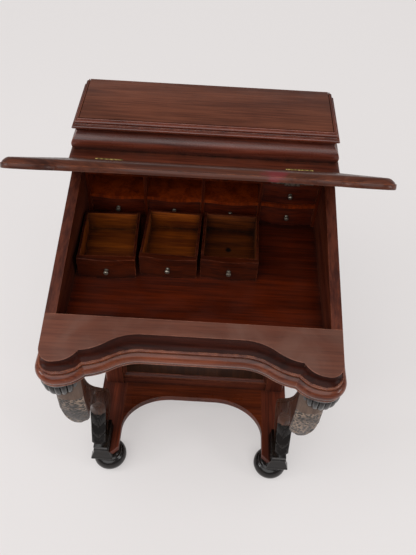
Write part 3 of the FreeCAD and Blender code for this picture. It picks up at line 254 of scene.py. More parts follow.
@dataclass(frozen=True)
class Wood:
    """A polished wood.

    Attributes:
        name: The finish's name.
        dark: Colour of the dark figure.
        light: Colour of the light figure.
        worn: Colour of rubbed edges.
        grain: Direction of the fibres.
        scale: Size of the figure; larger is finer.
        gloss: Roughness of the polish.
        coat: Weight of the polish's clear film.
        shine: Strength of the surface's own reflection.
        wear: How much the edges are rubbed.
        dust_and_shade: How dark the hollows are: dust and painted shade.
        painted_sheen: How much a painted greyish sheen, standing in for a reflection of the light, lies on it.
        stain: Centre and reach of a spilt-ink stain, and its colour.
    """

    name: str
    dark: Colour
    light: Colour
    worn: Colour
    grain: Grain = Grain.ACROSS
    scale: float = 1.0
    gloss: float = 0.36
    coat: float = 0.08
    shine: float = 0.25
    wear: float = 0.5
    dust_and_shade: float = 0.7
    painted_sheen: float = 0.0
    stain: tuple[Vector, float, Colour] | None = None

    def build(self, groups: SharedGroups) -> Material:
        """Make the material.

        Args:
            groups: The shared node groups.

        Returns:
            The finished material.
        """
        material, graph, shader = blank_material(self.name)
        where = graph.add("TexCoord").outputs["Object"]
        turned = graph.add("Mapping", {"Vector": where, "Rotation": self.grain.value}).outputs[0]
        grain = graph.add("Group", {"Vector": turned, "Scale": self.scale}, node_tree=groups.grain)
        colour = graph.mix(grain.outputs["Figure"], self.dark, self.light)
        cloud = graph.span(grain.outputs["Cloud"], 0.3, 0.7, 0.82, 1.14)
        colour = graph.mix(1.0, colour, cloud, "MULTIPLY")
        colour = graph.mix(graph.math("MULTIPLY", grain.outputs["Pores"], 0.3), colour, (0.006, 0.003, 0.002, 1.0))
        # Painted sheen: a greyish cloud mixed into the colour, standing in for a reflection of the light.
        if self.painted_sheen:
            sheen_patches = graph.span(graph.noise(where, 9.0, 5.0, 0.8), 0.35, 0.7, 0.1, 1.0)
            colour = graph.mix(graph.math("MULTIPLY", sheen_patches, self.painted_sheen), colour, tone(116, 84, 72))
        if self.stain:
            colour = self._stained(graph, where, colour)
        # Darken corners and hollows towards near black: painted shade, together with the dust there; the roughness
        # rises with it.
        dust_and_shade_mask = graph.mask(groups.dust_and_shade, where, self.dust_and_shade, "Reach", 0.02)
        colour = graph.mix(dust_and_shade_mask, colour, (0.004, 0.0025, 0.002, 1.0))
        rub = graph.mask(groups.wear, where, self.wear, "Width", 0.0022)
        colour = graph.mix(rub, colour, self.worn)
        smear = graph.span(graph.noise(where, 22.0, 4.0), 0.3, 0.72, -0.06, 0.12)
        rough = graph.math("ADD", graph.math("ADD", smear, self.gloss), graph.math("MULTIPLY", dust_and_shade_mask, 0.3))
        bump = graph.add("Bump", {"Strength": 0.16, "Distance": 0.0004, "Height": grain.outputs["Height"]})
        graph.feed(shader, {
            "Base Color": colour, "Roughness": rough, "Normal": bump.outputs[0],
            "Specular IOR Level": self.shine, "Coat Weight": self.coat, "Coat Roughness": 0.16})
        return material

    def _stained(self, graph: Graph, where: object, colour: object) -> Socket:
        """Lay an ink stain with a ragged edge over the colour."""
        centre, reach, ink = self.stain
        away = graph.add("VectorMath", {0: where, 1: centre}, operation="DISTANCE").outputs["Value"]
        ragged = graph.math("MULTIPLY", graph.noise(where, 70.0, 4.0), reach * 1.1)
        spot = graph.span(graph.math("ADD", away, ragged), reach * 0.9, reach * 1.5, 1.0, 0.0)
        return graph.mix(spot, colour, ink)


@dataclass(frozen=True)
class Metal:
    """An aged metal.

    Attributes:
        name: The finish's name.
        bright: Colour where it is rubbed.
        dull: Colour of its tarnish.
        gloss: Roughness where it is rubbed.
    """

    name: str
    bright: Colour
    dull: Colour
    gloss: float = 0.3

    def build(self, groups: SharedGroups) -> Material:
        """Make the material.

        Args:
            groups: The shared node groups.

        Returns:
            The finished material.
        """
        material, graph, shader = blank_material(self.name)
        where = graph.add("TexCoord").outputs["Object"]
        tarnish = graph.span(graph.noise(where, 180.0, 5.0), 0.35, 0.65, 0.0, 1.0)
        # Darken the hollows towards near black: painted shade, together with the dust there.
        dust_and_shade = graph.mask(groups.dust_and_shade, where, 0.8, "Reach", 0.004)
        colour = graph.mix(tarnish, self.bright, self.dull)
        colour = graph.mix(dust_and_shade, colour, (0.01, 0.008, 0.006, 1.0))
        rough = graph.span(tarnish, 0.0, 1.0, self.gloss, self.gloss + 0.25)
        scratch = graph.noise(where, 900.0, 2.0)
        bump = graph.add("Bump", {"Strength": 0.12, "Distance": 0.0002, "Height": scratch})
        graph.feed(shader, {
            "Base Color": colour, "Roughness": rough, "Normal": bump.outputs[0], "Metallic": 0.85})
        return material


RUBBED = tone(158, 88, 52)
INK = tone(112, 42, 44)
BLOT = tone(14, 10, 8)


class Finishes:
    """Every finish on the desk, built once and handed out by name."""

    def __init__(self) -> None:
        """Build the shared groups and each material."""
        red_dark, red_light = tone(60, 22, 13), tone(104, 50, 32)
        groups = SharedGroups()
        woods = [
            Wood("mahogany_across", red_dark, red_light, RUBBED),
            Wood("mahogany_deep", red_dark, red_light, RUBBED, Grain.DEEP),
            Wood("mahogany_upright", red_dark, red_light, RUBBED, Grain.UPRIGHT),
            Wood("mahogany_top", tone(78, 38, 24), tone(112, 62, 42), tone(128, 70, 44), wear=0.25, dust_and_shade=0.9),
            # The rim's greyish haze is a painted sheen, standing in for the light's reflection on the rail's top.
            Wood("mahogany_rim", tone(90, 46, 31), tone(112, 62, 44), tone(162, 106, 84),
                 gloss=0.46, wear=0.8, painted_sheen=0.55),
            # A darker copy of the rail's mahogany for the cove: painted shade for the shade that falls in the cove.
            Wood("mahogany_cove_shaded", tone(38, 11, 5), tone(64, 23, 11), tone(172, 110, 84),
                 gloss=0.3, wear=0.9, coat=0.0, shine=0.1),
            Wood("mahogany_moulding", tone(78, 29, 13), tone(128, 64, 36), tone(196, 128, 94),
                 wear=0.75, coat=0.3, gloss=0.28, dust_and_shade=0.95),
            # A lighter copy of the mahogany for front faces: its lighter colour is a painted highlight, while its
            # extra gloss reflects real light.
            Wood("mahogany_frieze", tone(70, 26, 15), tone(118, 56, 38), tone(178, 104, 76),
                 gloss=0.24, coat=0.4, shine=0.4, wear=0.6, dust_and_shade=0.95),
            Wood("mahogany_panel", tone(36, 17, 8), tone(66, 36, 19), RUBBED, Grain.UPRIGHT),
            Wood("mahogany_slope", tone(62, 28, 17), tone(100, 52, 33), tone(198, 108, 58),
                 wear=1.0, stain=(Vector((0.120, -0.178, 1.058)), 0.027, INK)),
            Wood("mahogany_platform", tone(66, 24, 10), tone(112, 48, 22), RUBBED, gloss=0.3),
            Wood("mahogany_runner", tone(60, 24, 14), tone(104, 46, 28), RUBBED, Grain.DEEP),
            Wood("well_floor", tone(54, 14, 3), tone(96, 32, 8), tone(124, 60, 34), gloss=0.4),
            Wood("well_wall", tone(60, 16, 2), tone(104, 34, 5), tone(140, 74, 44), Grain.UPRIGHT,
                 gloss=0.42, dust_and_shade=0.35),
            Wood("nest_wood", tone(96, 28, 3), tone(150, 56, 8), tone(150, 74, 40), Grain.UPRIGHT,
                 gloss=0.45, dust_and_shade=0.1),
            Wood("drawer_front", tone(42, 12, 4), tone(78, 28, 9), tone(150, 78, 50), wear=1.0, scale=1.6),
            # A lighter copy of the drawer fronts for those standing in the nest: painted light against the shade
            # there.
            Wood("drawer_front_lit", tone(58, 16, 6), tone(98, 34, 12), tone(170, 86, 52), wear=0.9, scale=1.6),
            Wood("drawer_inside", tone(92, 36, 4), tone(158, 80, 14), tone(160, 100, 40),
                 scale=1.5, gloss=0.6, coat=0.0, dust_and_shade=0.8),
            Wood("drawer_blotted", tone(66, 26, 4), tone(118, 56, 12), tone(140, 86, 40),
                 scale=1.5, gloss=0.6, coat=0.0, dust_and_shade=0.8,
                 stain=(Vector((0.0647, 0.0321, 0.651)), 0.0095, BLOT)),
            Wood("lining", tone(104, 72, 42), tone(168, 128, 84), tone(170, 130, 90), Grain.DEEP,
                 gloss=0.65, coat=0.0, wear=0.3),
            Wood("scroll_brown", tone(50, 28, 18), tone(92, 58, 42), tone(128, 94, 72), Grain.UPRIGHT,
                 gloss=0.3, wear=0.6),
            Wood("scroll_rubbed", tone(74, 56, 46), tone(106, 84, 70), tone(140, 112, 92), Grain.UPRIGHT,
                 scale=0.6, gloss=0.34, wear=0.5),
            Wood("ebonised", tone(9, 6, 5), tone(22, 15, 12), tone(96, 82, 72), Grain.UPRIGHT,
                 gloss=0.13, coat=0.22, shine=0.34, wear=0.3, dust_and_shade=0.8),
        ]
        metals = [
            Metal("aged_brass", tone(176, 150, 88), tone(96, 80, 44), 0.38),
            Metal("dull_pewter", tone(176, 168, 154), tone(104, 96, 86), 0.3),
        ]
        self.materials = {finish.name: finish.build(groups) for finish in woods + metals}
        self.materials["knee_carving"] = self._knee_carving(groups)

    @staticmethod
    def _knee_carving(groups: SharedGroups) -> Material:
        """Carved ground: dark in the punched hollows, grey-brown where hands and knees rub it."""
        material, graph, shader = blank_material("knee_carving")
        where = graph.add("TexCoord").outputs["Object"]
        punched = graph.add("TexVoronoi", {"Vector": where, "Scale": 170.0}).outputs["Distance"]
        pits = graph.span(punched, 0.36, 0.64, 1.0, 0.0)
        broad = graph.span(graph.noise(where, 30.0, 4.0), 0.36, 0.62, 0.0, 1.0)
        colour = graph.mix(broad, tone(52, 41, 34), tone(142, 120, 102))
        colour = graph.mix(graph.math("MULTIPLY", pits, 0.97), colour, tone(14, 9, 7))
        # Darken the carving's deeper hollows: painted shade, together with the dust there.
        dust_and_shade = graph.mask(groups.dust_and_shade, where, 0.9, "Reach", 0.008)
        colour = graph.mix(dust_and_shade, colour, tone(14, 10, 9))
        bump = graph.add("Bump", {"Strength": 0.9, "Distance": 0.0012, "Height": punched})
        graph.feed(shader, {"Base Color": colour, "Normal": bump.outputs[0], "Roughness": 0.42})
        return material

    def dress(self, obj: Piece, *names: str) -> Piece:
        """Give an object its finishes, the first one being its main finish.

        Args:
            obj: The object to dress.
            names: Finish names, in material slot order.

        Returns:
            The same object.
        """
        obj.data.materials.clear()
        for name in names:
            obj.data.materials.append(self.materials[name])
        return obj


# Modelling tools
def only(obj: Piece) -> Piece:
    """Select one object and make it the active one."""
    bpy.ops.object.select_all(action="DESELECT")
    obj.select_set(True)
    bpy.context.view_layer.objects.active = obj
    return obj


def loft(name: str, rings: Sequence[Sequence[Vector]], smooth: float = 38.0) -> Piece:
    """Draw a ring as a filled circle, then extrude it from ring to ring into a closed solid.

    Args:
        name: The piece's name.
        rings: Rings of equally many points, in order along the piece.
        smooth: Angle in degrees under which neighbouring faces shade as one surface.

    Returns:
        The new mesh object, with its place in its mesh.
    """
    bpy.ops.object.select_all(action="DESELECT")
    bpy.ops.mesh.primitive_circle_add(vertices=len(rings[0]), fill_type="NGON")
    obj = bpy.context.object
    obj.name = obj.data.name = name
    bpy.ops.object.mode_set(mode="EDIT")
    bpy.ops.mesh.select_all(action="SELECT")
    mesh = bmesh.from_edit_mesh(obj.data)
    mesh.verts.layers.int.new("station")
    mesh.verts.ensure_lookup_table()
    station = mesh.verts.layers.int["station"]
    for index, vertex in enumerate(mesh.verts):
        vertex[station] = index
    for number, ring in enumerate(rings):
        if number:
            bpy.ops.mesh.extrude_region_move()
            mesh = bmesh.from_edit_mesh(obj.data)
            station = mesh.verts.layers.int["station"]
        for vertex in mesh.verts:
            if vertex.select:
                vertex.co = ring[vertex[station]]
        bmesh.update_edit_mesh(obj.data)
    bpy.ops.mesh.select_all(action="SELECT")
    bpy.ops.mesh.normals_make_consistent(inside=False)
    bpy.ops.object.mode_set(mode="OBJECT")
    bpy.ops.object.shade_smooth_by_angle(angle=radians(smooth))
    for face in obj.data.polygons:
        if len(face.vertices) == len(rings[0]) > 4:
            face.use_smooth = False
    return obj


def board(name: str, low: Sequence[float], high: Sequence[float], rounding: float = 0.0006) -> Piece:
    """A board between two corners, with its edges eased.

    Args:
        name: The piece's name.
        low: Lowest corner.
        high: Highest corner.
        rounding: Width of the eased edges.

    Returns:
        The new mesh object, with its place in its mesh.
    """
    bpy.ops.object.select_all(action="DESELECT")
    middle = (Vector(low) + Vector(high)) / 2
    bpy.ops.mesh.primitive_cube_add(size=1, location=middle, scale=Vector(high) - Vector(low))
    obj = bpy.context.object
    obj.name = obj.data.name = name
    bpy.ops.object.transform_apply(location=True, rotation=True, scale=True)
    finish_modifier(obj, "BEVEL", width=rounding, segments=2, limit_method="ANGLE")
    bpy.ops.object.shade_smooth_by_angle(angle=radians(38))
    return obj


def finish_modifier(obj: Piece, kind: str, **settings: object) -> None:
    """Add a modifier, set it up and apply it.

    Args:
        obj: The object to change.
        kind: The modifier's type.
        settings: Its properties.
    """
    only(obj)
    modifier = obj.modifiers.new(kind.title(), kind)
    for name, value in settings.items():
        setattr(modifier, name, value)
    bpy.ops.object.modifier_apply(modifier=modifier.name)


def duplicate(obj: Piece, name: str) -> Piece:
    """Copy a piece together with its mesh.

    Args:
        obj: The piece.
        name: The copy's name.

    Returns:
        The copy.
    """
    only(obj)
    bpy.ops.object.duplicate()
    copy = bpy.context.object
    copy.name = copy.data.name = name
    return copy


def mirrored(obj: Piece, name: str) -> Piece:
    """Copy a piece to the other side of the desk, with faces turned outwards again.

    Args:
        obj: The piece on one side.
        name: The copy's name.

    Returns:
        The copy.
    """
    copy = duplicate(obj, name)
    bpy.ops.object.mode_set(mode="EDIT")
    bpy.ops.mesh.select_all(action="SELECT")
    bpy.ops.transform.resize(value=(-1, 1, 1), center_override=(0, 0, 0))
    bpy.ops.mesh.normals_make_consistent(inside=False)
    bpy.ops.object.mode_set(mode="OBJECT")
    return copy


def joined(name: str, pieces: Sequence[Piece]) -> Piece:
    """Join pieces into one object.

    Args:
        name: The joined object's name.
        pieces: The pieces, the first of which keeps its data.

    Returns:
        The joined object.
    """
    bpy.ops.object.select_all(action="DESELECT")
    for piece in pieces:
        piece.select_set(True)
    bpy.context.view_layer.objects.active = pieces[0]
    bpy.ops.object.join()
    pieces[0].name = pieces[0].data.name = name
    return pieces[0]


def install_pair(name: str, right: Piece, left_name: str, slot: Slot, node: str) -> None:
    """Mirror a dressed right piece, join both sides and install them on the carcase in a node's place."""
    both = joined(name, [right, mirrored(right, left_name)])
    install(both, "carcase", slot, node)


def paint(obj: Piece, slot: int, test: Place) -> None:
    """Give a material slot to the faces whose middle and normal pass a test.

    Args:
        obj: The object.
        slot: The number of the material slot.
        test: A test of a face's middle and normal.
    """
    for face in obj.data.polygons:
        if test(face.center, face.normal):
            face.material_index = slot


def install(obj: Piece, body: str, slot: Slot, *nodes: str) -> None:
    """Make a piece ride on its body and stand for the nodes that it replaces.

    Args:
        obj: The finished piece.
        body: The body that it moves with.
        slot: The record's material slot; not used.
        nodes: The frame's nodes that it replaces.
    """
    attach(obj, body)
    if nodes:
        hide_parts(*nodes)
    log.info("%s: %d faces on %s", obj.name, len(obj.data.polygons), body)


def smooth_line(points: Sequence[Point], steps: int) -> list[Point]:
    """A smooth curve through points.

    Args:
        points: The points to pass, in order.
        steps: How many points the curve gets.

    Returns:
        Points on the curve, evenly spaced along it.
    """
    ends = [points[0], *points, points[-1]]
    dense = []
    for index in range(len(points) - 1):
        before, start, end, after = (Vector(ends[index + k]) for k in range(4))
        for step in range(16):
            t = step / 16
            bend = (2 * before - 5 * start + 4 * end - after) * t ** 2
            twist = (3 * start - before - 3 * end + after) * t ** 3
            dense.append(0.5 * ((2 * start) + (end - before) * t + bend + twist))
    dense.append(Vector(points[-1]))
    reach = [0.0]
    for start, end in zip(dense, dense[1:]):
        reach.append(reach[-1] + (end - start).length)
    result = []
    cursor = 0
    for step in range(steps):
        goal = reach[-1] * step / (steps - 1)
        while cursor < len(reach) - 2 and reach[cursor + 1] < goal:
            cursor += 1
        share = (goal - reach[cursor]) / (reach[cursor + 1] - reach[cursor])
        spot = dense[cursor].lerp(dense[cursor + 1], min(share, 1.0))
        result.append((spot.x, spot.y))
    return result


def mitres(points: Sequence[Point]) -> list[Vector]:
    """Outward offsets of one metre at each point of an outline that is walked with the outside on its right.

    Args:
        points: The outline's points in plan.

    Returns:
        One vector to a point, longer at corners so that offset sides stay parallel.
    """
    result = []
    for index, point in enumerate(points):
        before = Vector(points[index - 1]) if index else None
        after = Vector(points[index + 1]) if index < len(points) - 1 else None
        here = Vector(point)
        sides = [(here - before) if before else None, (after - here) if after else None]
        normals = [Vector((side.y, -side.x)).normalized() for side in sides if side]
        total = sum(normals, Vector((0, 0)))
        result.append(total * (2 / total.length_squared) if len(normals) == 2 else total)
    return result


def clamp(value: float) -> float:
    """A value kept between 0 and 1."""
    return min(1.0, max(0.0, value))


def rounded(x: float, y: float, radius: float, start: float, end: float, steps: int) -> list[Point]:
    """Points on an arc about (x, y) in a section, with its angles in degrees from outwards."""
    angles = [radians(start + (end - start) * step / (steps - 1)) for step in range(steps)]
    return [(x + radius * cos(angle), y + radius * sin(angle)) for angle in angles]


def moulding_length(name: str, path: Sequence[Point], section: Sequence[Point], base: float,
                    part: slice = slice(None)) -> Piece:
    """A length of moulding along part of a path, mitred where the path turns.

    Args:
        name: The piece's name.
        path: The whole path in plan, walked with the outside on its right.
        section: Points of the section, as outwards and up.
        base: Height from which the section counts.
        part: Which of the path's points the length takes.

    Returns:
        The new mesh object.
    """
    stations = list(zip(path, mitres(path)))[part]
    rings = [
        [Vector((x + normal.x * far, y + normal.y * far, base + up)) for far, up in section]
        for (x, y), normal in stations
    ]
    return loft(name, rings)


# The serpentine plan
@dataclass(frozen=True)
class Serpentine:
    """The desk's serpentine front in plan: a straight recess, two bends, a cusp and a round lobe.

    Attributes:
        back: Y of the desk's back plane.
        half: Half width of the case.
        lobe: Depth of the lobes.
        recess: Depth of the recess.
        cusp: Depth of the cusps.
        flat: Half width of the straight recess.
        cusp_x: X of the cusp.
        bend: Radius of the first bend.
        turn: Angle of the first bend, in degrees.
        corner: Radius of the lobe's round corner.
        lean: How far round that corner reaches past the front, in degrees.
        fullness: Rise of the lobe's wide curve, as a share of its chord.
    """

    back: float = 0.333
    half: float = 0.290
    lobe: float = 0.650
    recess: float = 0.587
    cusp: float = 0.625
    flat: float = 0.098
    cusp_x: float = 0.214
    bend: float = 0.120
    turn: float = 33.0
    corner: float = 0.027
    lean: float = 14.0
    fullness: float = 0.115

    def right(self, steps: int = 16) -> list[Point]:
        """The right half in plan, from the recess's end to the side, with y as minus the depth."""
        turn = radians(self.turn)

        def on_bend(angle: float) -> Vector:
            """A point of the first bend."""
            return Vector((self.flat + self.bend * sin(angle), -self.recess - self.bend * (1 - cos(angle))))

        cusp = Vector((self.cusp_x, -self.cusp))
        shares = [step / steps for step in range(steps)]
        first = [on_bend(turn * share) for share in shares]
        chord = cusp - on_bend(turn)
        across = Vector((sin(turn), cos(turn)))
        radius = chord.length_squared / (2 * chord.dot(across))
        centre = on_bend(turn) + across * radius
        start = on_bend(turn) - centre
        sweep = start.angle_signed(cusp - centre)
        second = [centre + Matrix.Rotation(-sweep * share, 2) @ start for share in shares]
        middle = Vector((self.half - self.corner, self.corner - self.lobe))
        tilt = radians(self.lean)
        touch = middle + Vector((-sin(tilt), -cos(tilt))) * self.corner
        chord = touch - cusp
        bulge = chord.orthogonal().normalized() * chord.length * self.fullness
        if bulge.y > 0:
            bulge.negate()
        wide = [cusp + chord * share + bulge * (4 * share * (1 - share)) for share in shares]
        angles = [(-pi / 2 - tilt) * (1 - share) for share in shares + [1.0]]
        lobe = [middle + Vector((cos(angle), sin(angle))) * self.corner for angle in angles]
        return [(point.x, point.y) for point in first + second + wide + lobe]

    def front(self) -> list[Point]:
        """The whole front from the left side to the right side, in the frame's plan."""
        right = self.right()
        middle = [(self.flat * step / 6, -self.recess) for step in range(-5, 6)]
        left = [(-x, y) for x, y in reversed(right)]
        return [(x, y + self.back) for x, y in left + middle + right]

    @property
    def side(self) -> float:
        """Y at which the lobe's corner meets the straight side."""
        return self.back + self.corner - self.lobe


@dataclass(frozen=True)
class Rim:
    """The sloping plane on which the writing slope rests.

    Attributes:
        height: Height at the hinge line.
        hinge_y: Y of the hinge line.
        fall: The slope's angle in degrees.
    """

    height: float = 0.797
    hinge_y: float = 0.129
    fall: float = 13.1

    def at(self, y: float) -> float:
        """Height of the plane at a place."""
        return self.height + tan(radians(self.fall)) * (y - self.hinge_y)


PLAN = Serpentine()
RIM = Rim()


@dataclass
class Assembly:
    """A sub-assembly that dresses its pieces and puts them in place.

    Attributes:
        finishes: The desk's finishes.
    """

    finishes: Finishes

    def place(self, obj: Piece, finish: str, slot: Slot, node: str, body: str = "carcase") -> None:
        """Dress a piece and install it in a node's place."""
        install(self.finishes.dress(obj, finish), body, slot, node)


# Desk front: coved rail and base moulding
@dataclass
class DeskFront(Assembly):
    """The coved front rail and the base moulding round the desk box.

    Attributes:
        under: Height of the desk's underside.
        fillet_top: Top of the base moulding.
        well_y: Y of the well's front wall.
        turn_zone: Width at each side where the cove shallows as the front turns away.
        rim_band: Height of the rim's pale band.
        cove: The rail's section above the moulding, as outwards and share of the height.
    """

    under: float = 0.621
    fillet_top: float = 0.6632
    well_y: float = -0.222
    turn_zone: float = 0.040
    rim_band: float = 0.0012
    cove: tuple[Point, ...] = (
        (0.0, 0.0), (0.0050, 0.0005), (0.0053, 0.012), (0.0048, 0.028), (0.0030, 0.050), (0.0008, 0.085),
        (-0.0016, 0.13), (-0.0042, 0.20), (-0.0064, 0.29), (-0.0082, 0.40), (-0.0092, 0.53), (-0.0090, 0.66),
        (-0.0076, 0.78), (-0.0050, 0.88), (-0.0022, 0.945), (-0.0004, 0.978), (0.0, 0.988), (-0.0006, 1.0))

    def build(self) -> None:
        """Make both pieces."""
        self._rail()
        self._moulding()

    def _rail(self) -> None:
        """The rail: a sharp rim, a deep cove below it, and a plain foot behind the moulding."""
        front = PLAN.front()
        out = mitres(front)
        fade = [0.0, 0.35, 0.8]
        sides = [(PLAN.half, PLAN.side + (self.well_y - PLAN.side) * share) for share in (0.35, 0.65, 1.0)]
        plan = [(-x, y) for x, y in reversed(sides)] + front + sides
        outward = [Vector((-1, 0))] * 3 + out + [Vector((1, 0))] * 3
        hollow = fade + [1.0] * len(front) + fade[::-1]
        rings = [[Vector((x, y, self.under)) for x, y in plan]]
        for far, share in self.cove:
            ring = []
            for (x, y), normal, depth in zip(plan, outward, hollow):
                turned_away = max(0.0, -normal.y) if abs(x) > PLAN.half - self.turn_zone else 1.0
                far_here = far * depth * (0.3 + 0.7 * turned_away)
                x2 = x + normal.x * far_here
                y2 = y + normal.y * far_here
                ring.append(Vector((x2, y2, self.fillet_top + (RIM.at(y2) - self.fillet_top) * share)))
            rings.append(ring)
        rail = loft("front_rail_coved", rings)
        self.finishes.dress(rail, "mahogany_rim", "mahogany_cove_shaded")
        # Faces below the rim's edge take the cove finish, whose darker colour is painted shade.
        paint(rail, 1, lambda middle, normal: middle.z < RIM.at(middle.y) - self.rim_band)
        install(rail, "carcase", Slot.MAHOGANY, "front_rail")

    def _moulding(self) -> None:
        """A thin lip, a broad bead and two fillets, swept round the front and along both sides."""
        front = PLAN.front()
        rear = PLAN.back
        side_y = [PLAN.side + (rear - PLAN.side) * share for share in (0.1, 0.3, 0.5, 0.7, 0.85, 1.0)]
        path = [(-PLAN.half, y) for y in reversed(side_y)] + front + [(PLAN.half, y) for y in side_y]
        bead = [(0.0022 + 0.0138 * cos(angle), 0.0172 + 0.0142 * sin(angle))
                for angle in (radians(-58 + 11.5 * step) for step in range(13))]
        section = (
            [(0.0, 0.0), (0.0116, 0.0), (0.0124, 0.0008), (0.0124, 0.0026), (0.0104, 0.0040)] + bead
            + [(0.0050, 0.0320), (0.0062, 0.0328), (0.0066, 0.0336), (0.0066, 0.0378), (0.0058, 0.0386),
               (0.0056, 0.0414), (0.0050, 0.042), (0.0, 0.042)])
        moulding = moulding_length("desk_moulding_run", path, section, self.under)
        self.place(moulding, "mahogany_moulding", Slot.MAHOGANY, "desk_moulding")


# Scroll legs
@dataclass
class ScrollLegs(Assembly):
    """Two sawn scroll legs with carved knees, gadrooned capitals and flared foot blocks.

    Contours are pairs of setback from the leg's front plane and share of its height.
    """

    low: float = 0.118
    top: float = 0.621
    front: float = -0.317
    middle: float = 0.247
    thin: float = 0.0215
    wide: float = 0.028
    knee_depth: float = 0.040
    leaf_top: float = 0.203
    swell: float = 0.009
    tip: float = 0.386
    shield_top: float = 0.548
    stations: int = 280
    rear_line: tuple[Point, ...] = (
        (0.188, 0.0), (0.214, 0.06), (0.224, 0.13), (0.212, 0.225), (0.178, 0.345),
        (0.140, 0.485), (0.104, 0.62), (0.074, 0.75), (0.054, 0.875), (0.042, 1.0))
    front_line: tuple[Point, ...] = (
        (0.106, 0.0), (0.124, 0.055), (0.143, 0.115), (0.150, 0.19), (0.142, 0.275),
        (0.120, 0.385), (0.098, 0.475), (0.077, 0.525), (0.057, 0.538), (0.030, 0.556),
        (0.012, 0.62), (0.002, 0.72), (-0.001, 0.82), (0.003, 0.9), (0.008, 1.0))
    capital_x: float = 0.262
    capital_y: float = -0.286
    capital_cut: float = 0.013
    capital_tall: float = 0.052
    block_base: float = 0.086
    block_outer: float = 0.2684
    block_inner: float = 0.212
    block_near: float = -0.2294
    block_far: float = -0.137
    block_tongue: float = 0.020

    def build(self) -> None:
        """Make the legs, their capitals and their blocks."""
        self._legs()
        self._capitals()
        self._blocks()

    def _contour(self, line: Sequence[Point], steps: int) -> list[Vector]:
        """Points of one contour from the foot up, evenly spaced, as (y, z)."""
        tall = self.top - self.low
        points = [(self.front + back, self.low + share * tall) for back, share in line]
        return [Vector(point) for point in smooth_line(points, steps)]

    def _paired(self) -> list[tuple[Vector, Vector]]:
        """Front and rear points of each station, with the knee's underside facing the scroll's back."""
        fine = 400
        front, rear = self._contour(self.front_line, fine), self._contour(self.rear_line, fine)
        knee_front, knee_rear = 0.55, 0.63
        result = []
        for step in range(self.stations):
            share = step / (self.stations - 1)
            if share < knee_front:
                other = share / knee_front * knee_rear
            else:
                other = knee_rear + (share - knee_front) / (1 - knee_front) * (1 - knee_rear)
            result.append((front[round(share * (fine - 1))], rear[round(other * (fine - 1))]))
        return result

    @staticmethod
    def _carving(height: float, across: float) -> float:
        """Depth of the leaf carving above the foot: pointed leaves that overlap downwards, each with a rib."""
        row = ((height + 0.016 * (1 - abs(across))) / 0.030) % 1.0
        rib = 0.0010 * max(0.0, 1 - abs(across) * 6)
        veins = 0.0005 * sin(abs(across) * 22 + height * 420)
        return 0.0058 * row ** 1.5 + veins - rib

    def _knee_carving(self, height: float, across: float) -> float:
        """Depth of the knee's shield: a notched leafy border round a sunk ground."""
        rise = (height - self.tip) / (self.shield_top - self.tip)
        border = max(0.0, 1 - abs(abs(across) - 0.84) * 7)
        notches = 0.5 + 0.5 * cos(2 * pi * height / 0.0085)
        curl = max(0.0, 1 - abs(rise - 0.16 - 0.5 * across ** 2) * 11)
        return 0.0022 - 0.0022 * max(border * (0.55 + 0.45 * notches), curl)

    def _ring(self, step: int, front: Vector, rear: Vector) -> list[Vector]:
        """One section of the leg, from its front face round the right side and the rear."""
        share = step / (self.stations - 1)
        run = rear - front
        deep = run.length
        way = run / deep
        knee = clamp((share - 0.55) / 0.10)
        knee = knee * knee * (3 - 2 * knee)
        rise = clamp((front.y - self.tip) / 0.085)
        tip = 1 - 0.55 * (1 - sqrt(1 - (1 - rise) ** 2)) * clamp((share - 0.5) * 25)
        foot = 1 - 0.16 * clamp((0.24 - front.y) / 0.11)

        def half(distance: float) -> float:
            """Half the thickness at a distance behind the front."""
            fade = clamp((distance - self.knee_depth + 0.014) / 0.014)
            return (self.thin * foot + (self.wide - self.thin) * knee * (1 - fade)) * (tip + (1 - tip) * fade)

        outline = []
        columns = 20
        for column in range(columns + 1):
            across = 2 * column / columns - 1
            fall = 0.010 * knee + 0.006 * (1 - knee)
            distance = fall * abs(across) ** 2.6
            if front.y < self.leaf_top:
                rise = (front.y - self.low) / (self.leaf_top - self.low)
                edge = min(1.0, (1 - abs(across)) * 6, rise * 9)
                distance += self._carving(front.y, across) * edge - self.swell * sin(pi * rise) ** 0.6 * rise ** 0.5
            elif share > 0.56 and front.y < self.shield_top:
                edge = min(1.0, (share - 0.56) * 40, (self.shield_top - front.y) * 300)
                distance += self._knee_carving(front.y, across) * edge
            outline.append((across * half(0.0), distance))
        lip = min(deep * 0.3, 0.0105)
        right = []
        for distance, groove in (
                (min(0.018, deep * 0.4), 0.0), (min(0.033, deep * 0.5), 0.0), (min(0.041, deep * 0.62), 0.0),
                (deep - lip, 0.0), (deep - lip + 0.0008, -0.0016), (deep - lip * 0.80, -0.0016),
                (deep - lip * 0.76, 0.0), (deep - lip * 0.55, 0.0), (deep - lip * 0.50, -0.0014),
                (deep - lip * 0.38, -0.0014), (deep - lip * 0.32, 0.0), (deep - 0.0012, 0.0)):
            right.append((half(distance) + groove, distance))
        right.append((half(deep) - 0.0014, deep))
        outline += right + [(0.0, deep)] + [(-x, distance) for x, distance in reversed(right)]
        return [
            Vector((self.middle + x, front.x + way.x * distance, front.y + way.y * distance))
            for x, distance in outline
        ]

    def _legs(self) -> None:
        """Loft the right leg from its foot up and mirror it."""
        rings = [self._ring(step, front, rear) for step, (front, rear) in enumerate(self._paired())]
        right = loft("leg_right_scroll", rings, 32.0)
        self.finishes.dress(right, "scroll_brown", "ebonised", "knee_carving", "scroll_rubbed")
        columns = right.data.attributes["station"].data
        last = max(entry.value for entry in columns)
        for face in right.data.polygons:
            stations = [columns[index].value for index in face.vertices]
            if face.center.z < self.leaf_top and all(station <= 22 or station >= last - 1 for station in stations):
                face.material_index = 1
            elif all(station <= 20 for station in stations) and face.center.z > self.tip:
                face.material_index = 2 if face.center.z < self.shield_top else 3
        left = mirrored(right, "leg_left_scroll")
        install(right, "carcase", Slot.CARVED, "leg_right")
        install(left, "carcase", Slot.CARVED, "leg_left")

